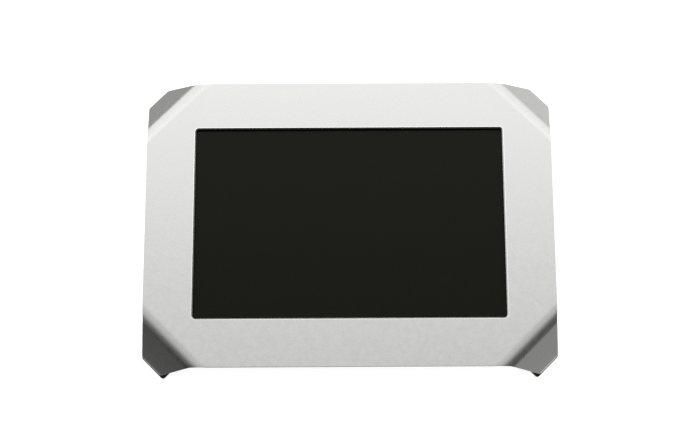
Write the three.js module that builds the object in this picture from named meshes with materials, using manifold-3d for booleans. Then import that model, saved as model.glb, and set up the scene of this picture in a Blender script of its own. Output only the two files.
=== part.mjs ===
// A desk-standing operator touch panel, in millimetres, +Z up.
// The panel lies on its four rubber feet with the screen up. The origin is the middle of the
// footprint, on the surface it rests on. X runs along the screen, and +Y points to the top edge
// of the screen.
import * as THREE from "three";
import { mergeVertices } from "three/addons/utils/BufferGeometryUtils.js";
import Module from "manifold-3d";

const wasm = await Module();
wasm.setup();

// ---------------------------------------------------------------- driving dimensions
const gap = 0.3; // between pieces that touch
const overrun = 1; // how far a cutting tool runs past the faces it cuts
const roundSides = 16; // sides of a screw, boss or bore
const arcSteps = 4; // sides of a quarter-round corner
const bendSteps = 6; // flats along a bend of the front plate

// 10.1 inch wide display and the stack behind the window
const activeWidth = 216.96;
const activeHeight = 135.6;
const windowReveal = 0.8; // window edge to the lit area
const windowCornerRadius = 2;
const windowChamfer = 0.8;
const glassOverlapX = 5.75; // touch glass behind the window's edge
const glassOverlapY = 6.4;
const glassThickness = 1.8;
const gasketThickness = 0.8;
const gasketSetback = 1; // gasket's inner edge behind the window's edge
const lcdBorderX = 6.25; // module outline around the lit area
const lcdBorderY = 6.75;
const lcdThickness = 5;
const lcdWall = 1;
const lcdLip = 0.8;
const cellThickness = 1.2;

// front plate: one sheet with its four corners folded down and rolled under
const marginX = 34.8; // plate around the window
const marginY = 34.2;
const plateThickness = 2;
const standHeight = 32; // resting surface to the plate's face
const footThickness = 3.2;
const cornerLeg = 44.8; // plate corner to the start of its fold, along each edge
const creaseLeg = 33.3; // plate corner to where the edge turns into the tab's side
const tabAngle = 50; // degrees below the plate's face
const foldRadius = 14; // outside radius of the fold
const rollRadius = 4; // outside radius where the tab rolls under
const tabEndHalfWidth = 9.4;
const tabCornerRadius = 1.4;
const flangeHalfWidth = 8;
const flangeLength = 13; // flat return flange, from the end of the roll
const flangeCornerRadius = 3;

// rubber feet under the four return flanges
const footWidth = 22.4;
const footDepth = 16;
const footProud = 0.4; // foot past the tab's outer face
const footCornerRadius = 2;
const footScrewHead = { radius: 2.9, height: 1.5, recess: 2.2 };
const footScrewRadius = 1.5;
const footScrewLength = 7;

// folded sheet housing behind the display
const housingWall = 1.2;
const housingClearanceX = 4.5; // touch glass to the side walls' inner face
const housingClearanceY = 7.8; // touch glass to the top and bottom walls' inner face
const rearFaceHeight = 4;
const housingCornerRadius = 3;
const earLength = 10;
const earWidth = 14;
const earSpread = 140; // between the ears along the top and bottom walls
const studRadius = 1.5;
const studLength = 5.6;
const nutAcross = 5.5;
const nutHeight = 2.4;
const ventWidth = 2.4;
const ventHeight = 12;
const ventPitch = 6;
const ventCount = { top: 22, left: 12 };
const vesaPitch = 75;
const insertBore = 2.1;
const insertBody = { radius: 4, height: 3.5 };
const insertShankRadius = 2.8;

// straps that hold the display module against the glass
const strapWidth = 16;
const strapThickness = 1;
const strapInset = 20; // strap's middle from the module's side edge
const strapEndClearance = 0.5; // strap's foot to the housing's wall
const strapStudRadius = 1.25;
const strapNutAcross = 5;
const strapNutHeight = 2;
const strapStudLength = 4.6;

// main board, hung in the housing on four spacers, with its parts on the underside
const boardThickness = 1.6;
const boardWidth = 174;
const boardDepth = 118;
const boardDrop = 2.1; // display module to the board's upper face
const boardHoleInset = 5;
const boardClearance = 1; // board's edges to the walls
const spacerRadius = 2.75;
const boardScrew = { headRadius: 2.5, headHeight: 1.5, radius: 1, length: 7 };
const rimClearance = 0.4; // around a connector where it passes through a wall
const flushProud = 0.6; // connector faces past the wall's outer face

// connectors along the lower edge; place and first are measured from the board's left edge to
// the connector's middle
const powerHeader = { width: 17, height: 8.5, depth: 12, place: 18, wall: 1, pins: 3, pitch: 5.08 };
const powerPin = { size: 1, length: 6 };
const serialPort = {
  place: 51,
  shell: { width: 17, height: 8.4, proud: 5 },
  flange: { width: 30.8, height: 11.4, thickness: 1 },
  back: { width: 19.2, height: 10.6, depth: 11 },
  lock: { pitch: 24.99, radius: 2.7, height: 4, shank: 1.4 },
};
const ethernetJack = {
  width: 16,
  height: 11.8,
  depth: 21,
  first: 84,
  pitch: 20,
  count: 2,
  mouth: { width: 11.8, height: 6.8, depth: 12, keyWidth: 6.2, keyHeight: 1.6, floor: 1.6 },
};
const usbPort = {
  width: 13.2,
  height: 5.8,
  depth: 14,
  first: 131,
  pitch: 20,
  count: 2,
  wall: 0.5,
  tongue: { width: 10.6, height: 1.8, setback: 1 },
};
const earthScrew = { headRadius: 3.6, headHeight: 2.4, radius: 2, length: 9, fromCorner: 24 };

// memory card and power button on the right-hand wall, measured from the board's lower edge
const cardSlot = { width: 28, height: 3.9, depth: 31, place: 42, wall: 0.5 };
const card = { width: 24, length: 32, thickness: 2.1, proud: 2.2 };
const button = {
  radius: 3.5,
  proud: 1.8,
  flangeRadius: 4.8,
  flangeThickness: 1,
  stemRadius: 1.6,
  stem: 4.5,
  travel: 0.8,
};
const buttonPlace = 74;
const buttonHeight = 12; // axis above the resting surface
const switchBody = { size: 6.2, depth: 4 };

// parts on the board's underside: place is measured from the board's lower left corner
const processor = { size: 21, height: 1.6, x: 57, y: 74 };
const heatSink = { size: 44, base: 3, fins: 9, finThickness: 1.4 };
const cellHolder = { radius: 11.6, height: 4.6, x: 122, y: 86, wall: 1.3 };
const coinCell = { radius: 10, height: 3.2 };
const buzzer = { radius: 6, height: 7, x: 152, y: 96, holeRadius: 1 };
const inductor = { size: 12, height: 6, cornerRadius: 2, x: 20, y: 34 };
const capacitor = { radius: 4, height: 8, x: 36, y: 32, pitch: 11, count: 2 };

// flat cable from the display module to the board
const ribbon = { width: 28, thickness: 0.3, run: 16, x: 70, y: 98 };

// ---------------------------------------------------------------- derived sizes
const windowWidth = activeWidth + 2 * windowReveal;
const windowHeight = activeHeight + 2 * windowReveal;
const plateWidth = windowWidth + 2 * marginX;
const plateHeight = windowHeight + 2 * marginY;
const plateBack = standHeight - plateThickness;

const gasketTop = plateBack - gap;
const glassTop = gasketTop - gasketThickness - gap;
const glassWidth = windowWidth + 2 * glassOverlapX;
const glassHeight = windowHeight + 2 * glassOverlapY;
const lcdTop = glassTop - glassThickness - gap;
const lcdBottom = lcdTop - lcdThickness;
const lcdWidth = activeWidth + 2 * lcdBorderX;
const lcdHeight = activeHeight + 2 * lcdBorderY;
const cellTop = lcdTop - lcdLip - gap;
const backlightTop = cellTop - cellThickness - gap;

// the tab in its own plane: u runs outwards along the corner's diagonal from the plate's
// corner, t runs across it
const diagonal = Math.SQRT2;
const tabSlope = THREE.MathUtils.degToRad(tabAngle);
const foldStart = -cornerLeg / diagonal;
const creaseStart = -creaseLeg / diagonal;
const flangeBottom = footThickness + gap;
const tabDepth = standHeight - flangeBottom;
const foldDrop = foldRadius * (1 - Math.cos(tabSlope));
const rollDrop = rollRadius * (1 + Math.cos(tabSlope));
const tabFlat = (tabDepth - foldDrop - rollDrop) / Math.sin(tabSlope);
const rollCentre =
  foldStart + (foldRadius - rollRadius) * Math.sin(tabSlope) + tabFlat * Math.cos(tabSlope);
const tabReach = rollCentre + rollRadius;
const flangeEnd = rollCentre - flangeLength;
const footMiddle = tabReach + footProud - footDepth / 2;

const wallX = glassWidth / 2 + housingClearanceX; // inner faces of the walls
const wallY = glassHeight / 2 + housingClearanceY;
const housingWidth = 2 * (wallX + housingWall);
const housingHeight = 2 * (wallY + housingWall);
const housingTop = plateBack - gap;
const housingFloor = rearFaceHeight + housingWall;

const boardTop = lcdBottom - boardDrop;
const boardBottom = boardTop - boardThickness;
const boardRight = wallX - boardClearance;
const boardLeft = boardRight - boardWidth;
const boardFront = boardClearance - wallY;
const boardBack = boardFront + boardDepth;
const underBoard = boardBottom - gap; // top of what hangs from the board
const frontFace = -(housingHeight / 2 + flushProud); // mouths of the lower edge's connectors
const sideFace = housingWidth / 2;

const strapX = lcdWidth / 2 - strapInset;
const strapLeg = Math.max(glassHeight, lcdHeight) / 2 + gap;
const strapEnd = wallY - strapEndClearance;
const strapStudY = (strapLeg + strapThickness + strapEnd) / 2;

// the housing's ears: two on each long side and one on each short side
const earReach = housingWall + earLength;
const earPlaces = [
  ...[-1, 1].flatMap((sy) =>
    [-1, 1].map((sx) => ({
      x: (sx * earSpread) / 2,
      y: sy * (housingHeight / 2 + earLength / 2),
      width: earWidth,
      depth: earReach,
    })),
  ),
  ...[-1, 1].map((sx) => ({
    x: sx * (housingWidth / 2 + earLength / 2),
    y: 0,
    width: earReach,
    depth: earWidth,
  })),
];

const cardMiddle = boardFront + cardSlot.place;
const cardBottom = underBoard - cardSlot.height / 2 - card.thickness / 2;
const buttonY = boardFront + buttonPlace;

// ---------------------------------------------------------------- solids
const steel = { color: 0xb8bcc0, roughness: 0.35, metalness: 1 };
const finishes = {
  anodisedAluminium: { color: 0xd6d7d3, roughness: 0.42, metalness: 0.9 },
  powderCoat: { color: 0x2b2d30, roughness: 0.55, metalness: 0.2 },
  rubber: { color: 0x141414, roughness: 0.85, metalness: 0 },
  foam: { color: 0x1d1d1f, roughness: 0.95, metalness: 0 },
  screenGlass: { color: 0x1d1f1f, roughness: 0.12, metalness: 0 },
  displayGlass: { color: 0x23262a, roughness: 0.2, metalness: 0 },
  milkyPlastic: { color: 0xe8e8e2, roughness: 0.5, metalness: 0 },
  steel,
  zinc: { color: 0xc6c6bd, roughness: 0.3, metalness: 1 },
  brass: { color: 0xc9a85c, roughness: 0.3, metalness: 1 },
  aluminium: { color: 0xbfc3c6, roughness: 0.4, metalness: 1 },
  circuitBoard: { color: 0x1f5a35, roughness: 0.5, metalness: 0 },
  chipPlastic: { color: 0x1a1a1c, roughness: 0.6, metalness: 0 },
  greenPlastic: { color: 0x3f8f4f, roughness: 0.5, metalness: 0 },
  blackPlastic: { color: 0x17181a, roughness: 0.5, metalness: 0 },
  flatCable: { color: 0xe4e2da, roughness: 0.6, metalness: 0 },
};

// A three.js geometry as a solid that can be cut and joined.
function solid(geometry) {
  const bare = geometry.clone();
  bare.deleteAttribute("normal");
  bare.deleteAttribute("uv");
  const merged = mergeVertices(bare, 1e-4);
  return new wasm.Manifold(
    new wasm.Mesh({
      numProp: 3,
      vertProperties: new Float32Array(merged.attributes.position.array),
      triVerts: new Uint32Array(merged.index.array),
    }),
  );
}

// A solid's surface as a three.js geometry.
function surface(body) {
  const made = body.getMesh();
  const geometry = new THREE.BufferGeometry();
  geometry.setAttribute("position", new THREE.BufferAttribute(made.vertProperties, 3));
  geometry.setIndex(new THREE.BufferAttribute(made.triVerts, 1));
  const flat = geometry.toNonIndexed();
  flat.computeVertexNormals();
  return flat;
}

// A finished solid as a named mesh, in the panel or in a group of it.
const panel = new THREE.Group();
function piece(name, body, finish, parent = panel) {
  const mesh = new THREE.Mesh(surface(body), new THREE.MeshStandardMaterial(finishes[finish]));
  mesh.name = name;
  parent.add(mesh);
  return mesh;
}

const joined = (solids) => solids.reduce((all, one) => all.add(one));
const without = (body, tools) => tools.reduce((rest, tool) => rest.subtract(tool), body);

// A block from its middle in X and Y and its bottom and top in Z.
function block(width, depth, bottom, top, x = 0, y = 0) {
  const shape = new THREE.BoxGeometry(width, depth, top - bottom);
  return solid(shape.translate(x, y, (bottom + top) / 2));
}

// An upright cylinder, or a prism when it has few sides.
function rod(radius, bottom, top, x = 0, y = 0, sides = roundSides) {
  const shape = new THREE.CylinderGeometry(radius, radius, top - bottom, sides);
  return solid(shape.rotateX(Math.PI / 2).translate(x, y, (bottom + top) / 2));
}

// A cylinder along X, or along Y, at a place across its axis and a height.
function rodAlongX(radius, start, end, y, z, sides = roundSides) {
  const shape = new THREE.CylinderGeometry(radius, radius, end - start, sides);
  return solid(shape.rotateZ(Math.PI / 2).translate((start + end) / 2, y, z));
}

function rodAlongY(radius, start, end, x, z, sides = roundSides) {
  const shape = new THREE.CylinderGeometry(radius, radius, end - start, sides);
  return solid(shape.translate(x, (start + end) / 2, z));
}

function extruded(shape, bottom, top) {
  const settings = { depth: top - bottom, bevelEnabled: false, curveSegments: arcSteps };
  return solid(new THREE.ExtrudeGeometry(shape, settings).translate(0, 0, bottom));
}

// A section drawn with Y for the height, drawn out along Y about the middle.
function extrudedAlongY(shape, length) {
  const settings = { depth: length, bevelEnabled: false, curveSegments: arcSteps };
  const bar = new THREE.ExtrudeGeometry(shape, settings);
  return bar.rotateX(Math.PI / 2).translate(0, length / 2, 0);
}

function outline(points) {
  return new THREE.Shape(points.map(([x, y]) => new THREE.Vector2(x, y)));
}

function roundedRectangle(width, height, radius) {
  const x = width / 2 - radius;
  const y = height / 2 - radius;
  const shape = new THREE.Shape();
  shape.absarc(x, -y, radius, -Math.PI / 2, 0);
  shape.absarc(x, y, radius, 0, Math.PI / 2);
  shape.absarc(-x, y, radius, Math.PI / 2, Math.PI);
  shape.absarc(-x, -y, radius, Math.PI, Math.PI * 1.5);
  return shape;
}

function roundedBlock(width, height, radius, bottom, top) {
  return extruded(roundedRectangle(width, height, radius), bottom, top);
}

// A frame with a rectangular hole through it.
function frame(width, height, innerWidth, innerHeight, bottom, top) {
  const hole = block(innerWidth, innerHeight, bottom - overrun, top + overrun);
  return block(width, height, bottom, top).subtract(hole);
}

// A hexagon nut that hangs down from its seat at height zero.
function nut(across, height, bore) {
  const hexagonSides = 6;
  const body = rod(across / Math.sqrt(3), -height, 0, 0, 0, hexagonSides);
  return body.subtract(rod(bore, -height - overrun, overrun));
}

// A screw with its head above height zero and its shank below.
function screw(headRadius, headHeight, radius, length) {
  return rod(headRadius, 0, headHeight).add(rod(radius, -length, gap / 2));
}

// The four quarters, numbered anticlockwise from the lower left.
const quarters = [
  { number: 1, sx: -1, sy: -1 },
  { number: 2, sx: 1, sy: -1 },
  { number: 3, sx: 1, sy: 1 },
  { number: 4, sx: -1, sy: 1 },
];

// ---------------------------------------------------------------- front plate
// A tab's section, from the flat sheet to the end of the flange that rolls under it.
function tabSection() {
  const outer = [];
  const inner = [];
  const add = (u, z, angle) => {
    outer.push([u, z]);
    inner.unshift([u - plateThickness * Math.sin(angle), z - plateThickness * Math.cos(angle)]);
  };
  add(foldStart - plateThickness, standHeight, 0);
  for (let i = 0; i <= bendSteps; i++) {
    const angle = (tabSlope * i) / bendSteps;
    const drop = foldRadius * (1 - Math.cos(angle));
    add(foldStart + foldRadius * Math.sin(angle), standHeight - drop, angle);
  }
  for (let i = 0; i <= bendSteps; i++) {
    const angle = tabSlope + ((Math.PI - tabSlope) * i) / bendSteps;
    const rise = rollRadius * (1 + Math.cos(angle));
    add(rollCentre + rollRadius * Math.sin(angle), flangeBottom + rise, angle);
  }
  add(flangeEnd, flangeBottom, Math.PI);
  return outline([...outer, ...inner]);
}

// A tab seen from above: wide at the crease, narrower to its end, with rounded corners.
function tabPlan() {
  const back = foldStart - 2 * plateThickness;
  const run = tabReach - creaseStart;
  const rise = -creaseStart - tabEndHalfWidth;
  const side = Math.hypot(run, rise);
  const sideX = tabReach - (tabCornerRadius * run) / side;
  const sideY = tabEndHalfWidth + (tabCornerRadius * rise) / side;
  const endY = tabEndHalfWidth - tabCornerRadius;
  const shape = new THREE.Shape();
  shape.moveTo(back, back);
  shape.lineTo(creaseStart, creaseStart);
  shape.lineTo(sideX, -sideY);
  shape.quadraticCurveTo(tabReach, -tabEndHalfWidth, tabReach, -endY);
  shape.lineTo(tabReach, endY);
  shape.quadraticCurveTo(tabReach, tabEndHalfWidth, sideX, sideY);
  shape.lineTo(creaseStart, -creaseStart);
  shape.lineTo(back, -back);
  return shape;
}

function cornerTab() {
  const span = 2 * (plateThickness * 2 - foldStart);
  const strip = solid(extrudedAlongY(tabSection(), span));
  const tab = strip.intersect(extruded(tabPlan(), 0, standHeight + overrun));
  const flangeTop = flangeBottom + plateThickness + gap;
  const pad = roundedRectangle(span, 2 * flangeHalfWidth, flangeCornerRadius);
  const padShape = new THREE.ExtrudeGeometry(pad, { depth: flangeTop, bevelEnabled: false });
  const kept = solid(padShape.translate(flangeEnd + span / 2, 0, 0));
  const lower = block(span, span, 0, flangeTop, rollCentre - span / 2);
  const hole = rod(footScrewRadius + gap, 0, flangeTop + overrun, footMiddle);
  return tab.subtract(lower.subtract(kept)).subtract(hole);
}

// A straight cut through the sheet that flares into a chamfer at the face.
function windowCut() {
  const shape = roundedRectangle(windowWidth, windowHeight, windowCornerRadius);
  const flare = windowChamfer + gap;
  const chamfer = new THREE.ExtrudeGeometry(shape, {
    depth: overrun,
    bevelSegments: 1,
    bevelThickness: flare,
    bevelSize: flare,
    curveSegments: arcSteps,
  });
  const through = extruded(shape, plateBack - overrun, standHeight + overrun);
  return through.add(solid(chamfer.translate(0, 0, standHeight + gap)));
}

// The flat of the plate, with its corners cut off where the folds start.
function plateFlat() {
  const x = plateWidth / 2;
  const y = plateHeight / 2;
  return outline([
    [cornerLeg - x, -y],
    [x - cornerLeg, -y],
    [x, cornerLeg - y],
    [x, y - cornerLeg],
    [x - cornerLeg, y],
    [cornerLeg - x, y],
    [-x, y - cornerLeg],
    [-x, cornerLeg - y],
  ]);
}

function frontPlate() {
  const tab = surface(cornerTab());
  const tabs = quarters.map(({ sx, sy }) => {
    const turned = tab.clone().rotateZ(Math.atan2(sy, sx));
    return solid(turned.translate((sx * plateWidth) / 2, (sy * plateHeight) / 2, 0));
  });
  const flat = extruded(plateFlat(), plateBack, standHeight);
  const root = plateBack + plateThickness / 2;
  const earStuds = earPlaces.map(({ x, y }) => rod(studRadius, plateBack - studLength, root, x, y));
  const strapStuds = quarters.map(({ sx, sy }) =>
    rod(strapStudRadius, plateBack - strapStudLength, root, sx * strapX, sy * strapStudY),
  );
  return joined([flat, ...tabs, ...earStuds, ...strapStuds]).subtract(windowCut());
}

piece("front_plate", frontPlate(), "anodisedAluminium");

// ---------------------------------------------------------------- feet
// Each foot is screwed up into a return flange. Its group turns it to the plate's corner.
function rubberFoot() {
  const body = roundedBlock(footDepth, footWidth, footCornerRadius, 0, footThickness);
  const recess = rod(footScrewHead.radius + gap, -overrun, footScrewHead.recess);
  const hole = rod(footScrewRadius + gap, 0, footThickness + overrun);
  return without(body, [recess, hole]);
}

function footScrew() {
  const head = footScrewHead;
  const top = head.recess - gap;
  const shank = rod(footScrewRadius, top - gap, top + footScrewLength);
  return rod(head.radius, top - head.height, top).add(shank);
}

for (const { number, sx, sy } of quarters) {
  const corner = new THREE.Group();
  corner.position.set((sx * plateWidth) / 2, (sy * plateHeight) / 2, 0);
  corner.rotation.z = Math.atan2(sy, sx);
  panel.add(corner);
  piece(`rubber_foot_${number}`, rubberFoot(), "rubber", corner).position.x = footMiddle;
  piece(`foot_screw_${number}`, footScrew(), "steel", corner).position.x = footMiddle;
}

// ---------------------------------------------------------------- display stack
const gasketWidth = windowWidth + 2 * gasketSetback;
const gasketHeight = windowHeight + 2 * gasketSetback;
const gasketBottom = gasketTop - gasketThickness;
piece(
  "glass_gasket",
  frame(glassWidth, glassHeight, gasketWidth, gasketHeight, gasketBottom, gasketTop),
  "foam",
);
piece("touch_glass", block(glassWidth, glassHeight, glassTop - glassThickness, glassTop), "screenGlass");

// The display module: a pressed steel frame round the glass cell and the backlight.
const trayWidth = lcdWidth - 2 * lcdWall;
const trayHeight = lcdHeight - 2 * lcdWall;
const rim = frame(lcdWidth, lcdHeight, windowWidth, windowHeight, lcdTop - lcdLip, lcdTop);
const skirt = frame(lcdWidth, lcdHeight, trayWidth, trayHeight, lcdBottom, lcdTop - lcdLip / 2);
piece("display_frame", rim.add(skirt), "steel");
const cellWidth = trayWidth - 2 * gap;
const cellHeight = trayHeight - 2 * gap;
piece("display_cell", block(cellWidth, cellHeight, cellTop - cellThickness, cellTop), "displayGlass");
piece("backlight", block(cellWidth, cellHeight, lcdBottom, backlightTop), "milkyPlastic");

// Two straps hold the module against the glass. Each has a foot at both ends on a stud.
function strap() {
  const y = strapLeg;
  const leg = y + strapThickness;
  const end = strapEnd;
  const top = plateBack - gap;
  const seat = top - strapThickness;
  const low = lcdBottom - gap;
  const bottom = low - strapThickness;
  const half = [
    [y, low],
    [y, top],
    [end, top],
    [end, seat],
    [leg, seat],
    [leg, bottom],
  ];
  const section = outline([...half, ...half.map(([across, z]) => [-across, z]).reverse()]);
  const bar = solid(extrudedAlongY(section, strapWidth).rotateZ(Math.PI / 2));
  const holes = [-1, 1].map((side) =>
    rod(strapStudRadius + gap, seat - overrun, top + overrun, 0, side * strapStudY),
  );
  return without(bar, holes);
}

for (const [name, side] of [["left", -1], ["right", 1]]) {
  piece(`display_strap_${name}`, strap(), "zinc").position.x = side * strapX;
}
const strapNut = nut(strapNutAcross, strapNutHeight, strapStudRadius + gap);
for (const { number, sx, sy } of quarters) {
  const mesh = piece(`strap_nut_${number}`, strapNut, "zinc");
  mesh.position.set(sx * strapX, sy * strapStudY, plateBack - 2 * gap - strapThickness);
}

// ---------------------------------------------------------------- main board
const boardCorners = quarters.map(({ sx, sy }) => ({
  x: sx < 0 ? boardLeft + boardHoleInset : boardRight - boardHoleInset,
  y: sy < 0 ? boardFront + boardHoleInset : boardBack - boardHoleInset,
}));
const boardMiddleX = (boardLeft + boardRight) / 2;
const boardMiddleY = (boardFront + boardBack) / 2;
const boardHoles = boardCorners.map(({ x, y }) =>
  rod(boardScrew.radius + 2 * gap, boardBottom - overrun, boardTop + overrun, x, y),
);
const board = block(boardWidth, boardDepth, boardBottom, boardTop, boardMiddleX, boardMiddleY);
piece("main_board", without(board, boardHoles), "circuitBoard");

boardCorners.forEach(({ x, y }, i) => {
  const bore = rod(boardScrew.radius + gap, underBoard - boardScrew.length, underBoard + overrun);
  const pillar = rod(spacerRadius, housingFloor + gap, underBoard).subtract(bore);
  piece(`board_spacer_${i + 1}`, pillar, "brass").position.set(x, y, 0);
  const { headRadius, headHeight, radius, length } = boardScrew;
  const fastener = piece(`board_screw_${i + 1}`, screw(headRadius, headHeight, radius, length), "steel");
  fastener.position.set(x, y, boardTop + gap);
});

// A place on the board's underside, measured from its lower left corner.
const onBoard = (part) => [boardLeft + part.x, boardFront + part.y, 0];

const chip = block(processor.size, processor.size, underBoard - processor.height, underBoard);
piece("processor", chip, "chipPlastic").position.set(...onBoard(processor));

function heatSinkBody() {
  const top = underBoard - processor.height - gap;
  const bottom = housingFloor + gap;
  const { size, base, fins, finThickness } = heatSink;
  const made = [block(size, size, top - base, top)];
  const pitch = (size - finThickness) / (fins - 1);
  for (let i = 0; i < fins; i++) {
    const x = (finThickness - size) / 2 + i * pitch;
    made.push(block(finThickness, size, bottom, top - base / 2, x));
  }
  return joined(made);
}
piece("heat_sink", heatSinkBody(), "aluminium").position.set(...onBoard(processor));

function cellHolderBody() {
  const bottom = underBoard - cellHolder.height;
  const cup = rod(cellHolder.radius, bottom, underBoard);
  const floor = underBoard - cellHolder.wall;
  return cup.subtract(rod(cellHolder.radius - cellHolder.wall, bottom - overrun, floor));
}
piece("cell_holder", cellHolderBody(), "blackPlastic").position.set(...onBoard(cellHolder));
const cellSeat = underBoard - cellHolder.wall - gap;
const buttonCell = rod(coinCell.radius, cellSeat - coinCell.height, cellSeat);
piece("coin_cell", buttonCell, "steel").position.set(...onBoard(cellHolder));

const buzzerBottom = underBoard - buzzer.height;
const soundHole = rod(buzzer.holeRadius, buzzerBottom - overrun, buzzerBottom + buzzer.height / 2);
const buzzerBody = rod(buzzer.radius, buzzerBottom, underBoard).subtract(soundHole);
piece("buzzer", buzzerBody, "blackPlastic").position.set(...onBoard(buzzer));

const coilLow = underBoard - inductor.height;
const coilCorner = inductor.cornerRadius;
const coilBody = roundedBlock(inductor.size, inductor.size, coilCorner, coilLow, underBoard);
piece("inductor", coilBody, "chipPlastic").position.set(...onBoard(inductor));

for (let i = 0; i < capacitor.count; i++) {
  const can = rod(capacitor.radius, underBoard - capacitor.height, underBoard);
  const mesh = piece(`capacitor_${i + 1}`, can, "aluminium");
  mesh.position.set(boardLeft + capacitor.x + i * capacitor.pitch, boardFront + capacitor.y, 0);
}

// The flat cable runs along the module's back and steps down to the board.
function displayCable() {
  const top = lcdBottom - gap;
  const bottom = boardTop + gap;
  const half = ribbon.thickness / 2;
  const middle = (top + bottom) / 2;
  const section = outline([
    [-ribbon.run, top],
    [half, top],
    [half, middle - half],
    [ribbon.run, middle - half],
    [ribbon.run, bottom],
    [-half, bottom],
    [-half, top - ribbon.thickness],
    [-ribbon.run, top - ribbon.thickness],
  ]);
  return solid(extrudedAlongY(section, ribbon.width).rotateZ(Math.PI / 2));
}
piece("display_cable", displayCable(), "flatCable").position.set(...onBoard(ribbon));

// ---------------------------------------------------------------- connectors
// Each connector is made with its middle at X zero and its top under the board, and puts the
// hole that it needs in a wall on the list.
const wallCuts = [];
const throughFront = (width, bottom, top, x) => {
  const cut = rimClearance;
  const depth = 2 * (housingWall + overrun);
  wallCuts.push(block(width + 2 * cut, depth, bottom - cut, top + cut, x, -wallY - housingWall / 2));
};

function powerHeaderBody() {
  const { width, height, depth, wall, pins, pitch } = powerHeader;
  const bottom = underBoard - height;
  const back = frontFace + depth;
  const middle = frontFace + depth / 2;
  const shroud = block(width, depth, bottom, underBoard, 0, middle);
  const top = underBoard - wall;
  const inside = block(width - 2 * wall, depth, bottom + wall, top, 0, middle - wall);
  const low = underBoard - height / 2 - powerPin.size / 2;
  const blades = [];
  for (let i = 0; i < pins; i++) {
    const x = (i - (pins - 1) / 2) * pitch;
    const y = back - wall / 2 - powerPin.length / 2;
    blades.push(block(powerPin.size, powerPin.length, low, low + powerPin.size, x, y));
  }
  return shroud.subtract(inside).add(joined(blades));
}
const powerX = boardLeft + powerHeader.place;
piece("power_header", powerHeaderBody(), "greenPlastic").position.x = powerX;
throughFront(powerHeader.width, underBoard - powerHeader.height, underBoard, powerX);

// A nine-way socket: its flange lies behind the wall, its shell and two locks stand out of it.
function serialPortBody() {
  const { shell, flange, back, lock } = serialPort;
  const flangeLow = underBoard - flange.height;
  const middle = underBoard - flange.height / 2;
  const seat = gap - wallY;
  const low = middle - shell.height / 2;
  const reach = housingHeight / 2 + shell.proud + seat + flange.thickness;
  const made = [
    block(flange.width, flange.thickness, flangeLow, underBoard, 0, seat + flange.thickness / 2),
    block(back.width, back.depth, underBoard - back.height, underBoard, 0, seat + back.depth / 2),
    block(shell.width, reach, low, low + shell.height, 0, seat + flange.thickness - reach / 2),
  ];
  const lockSeat = -housingHeight / 2 - gap;
  const hexagonSides = 6;
  for (const side of [-1, 1]) {
    const x = (side * lock.pitch) / 2;
    made.push(rodAlongY(lock.shank, lockSeat - gap, seat + flange.thickness / 2, x, middle));
    made.push(rodAlongY(lock.radius, lockSeat - lock.height, lockSeat, x, middle, hexagonSides));
  }
  return joined(made);
}
const serialX = boardLeft + serialPort.place;
const serialMiddle = underBoard - serialPort.flange.height / 2;
const serialHalf = serialPort.shell.height / 2;
piece("serial_port", serialPortBody(), "steel").position.x = serialX;
throughFront(serialPort.shell.width, serialMiddle - serialHalf, serialMiddle + serialHalf, serialX);
for (const side of [-1, 1]) {
  const x = serialX + (side * serialPort.lock.pitch) / 2;
  const hole = serialPort.lock.shank + gap;
  wallCuts.push(rodAlongY(hole, frontFace - overrun, overrun - wallY, x, serialMiddle));
}

function ethernetJackBody() {
  const { width, height, depth, mouth } = ethernetJack;
  const bottom = underBoard - height;
  const floor = bottom + mouth.floor;
  const middle = frontFace + mouth.depth / 2;
  const cavity = block(mouth.width, mouth.depth + overrun, floor, floor + mouth.height, 0, middle);
  const keyTop = floor + mouth.height + mouth.keyHeight;
  const key = block(mouth.keyWidth, mouth.depth + overrun, floor, keyTop, 0, middle);
  const can = block(width, depth, bottom, underBoard, 0, frontFace + depth / 2);
  return without(can, [cavity, key]);
}
for (let i = 0; i < ethernetJack.count; i++) {
  const x = boardLeft + ethernetJack.first + i * ethernetJack.pitch;
  piece(`ethernet_jack_${i + 1}`, ethernetJackBody(), "steel").position.x = x;
  throughFront(ethernetJack.width, underBoard - ethernetJack.height, underBoard, x);
}

function usbPortBody() {
  const { width, height, depth, wall, tongue } = usbPort;
  const bottom = underBoard - height;
  const can = block(width, depth, bottom, underBoard, 0, frontFace + depth / 2);
  const back = 4 * wall;
  const inside = block(
    width - 2 * wall,
    depth,
    bottom + wall,
    underBoard - wall,
    0,
    frontFace + depth / 2 - back,
  );
  const low = underBoard - height / 2 - tongue.height / 2;
  const length = depth - tongue.setback - back / 2;
  const y = frontFace + tongue.setback + length / 2;
  const bar = block(tongue.width, length, low, low + tongue.height, 0, y);
  return can.subtract(inside).add(bar);
}
for (let i = 0; i < usbPort.count; i++) {
  const x = boardLeft + usbPort.first + i * usbPort.pitch;
  piece(`usb_port_${i + 1}`, usbPortBody(), "steel").position.x = x;
  throughFront(usbPort.width, underBoard - usbPort.height, underBoard, x);
}

// The earth screw stands in the lower wall beside the board.
const earthX = earthScrew.fromCorner - sideFace;
const earthHeight = (rearFaceHeight + housingTop) / 2;
const earthSeat = -housingHeight / 2 - gap;
const earthHead = rodAlongY(earthScrew.headRadius, earthSeat - earthScrew.headHeight, earthSeat, 0, 0);
const earthShank = rodAlongY(earthScrew.radius, earthSeat - gap, earthSeat + earthScrew.length, 0, 0);
piece("earth_screw", earthHead.add(earthShank), "brass").position.set(earthX, 0, earthHeight);
const earthHole = earthScrew.radius + gap;
wallCuts.push(rodAlongY(earthHole, frontFace - overrun, overrun - wallY, earthX, earthHeight));

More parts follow.
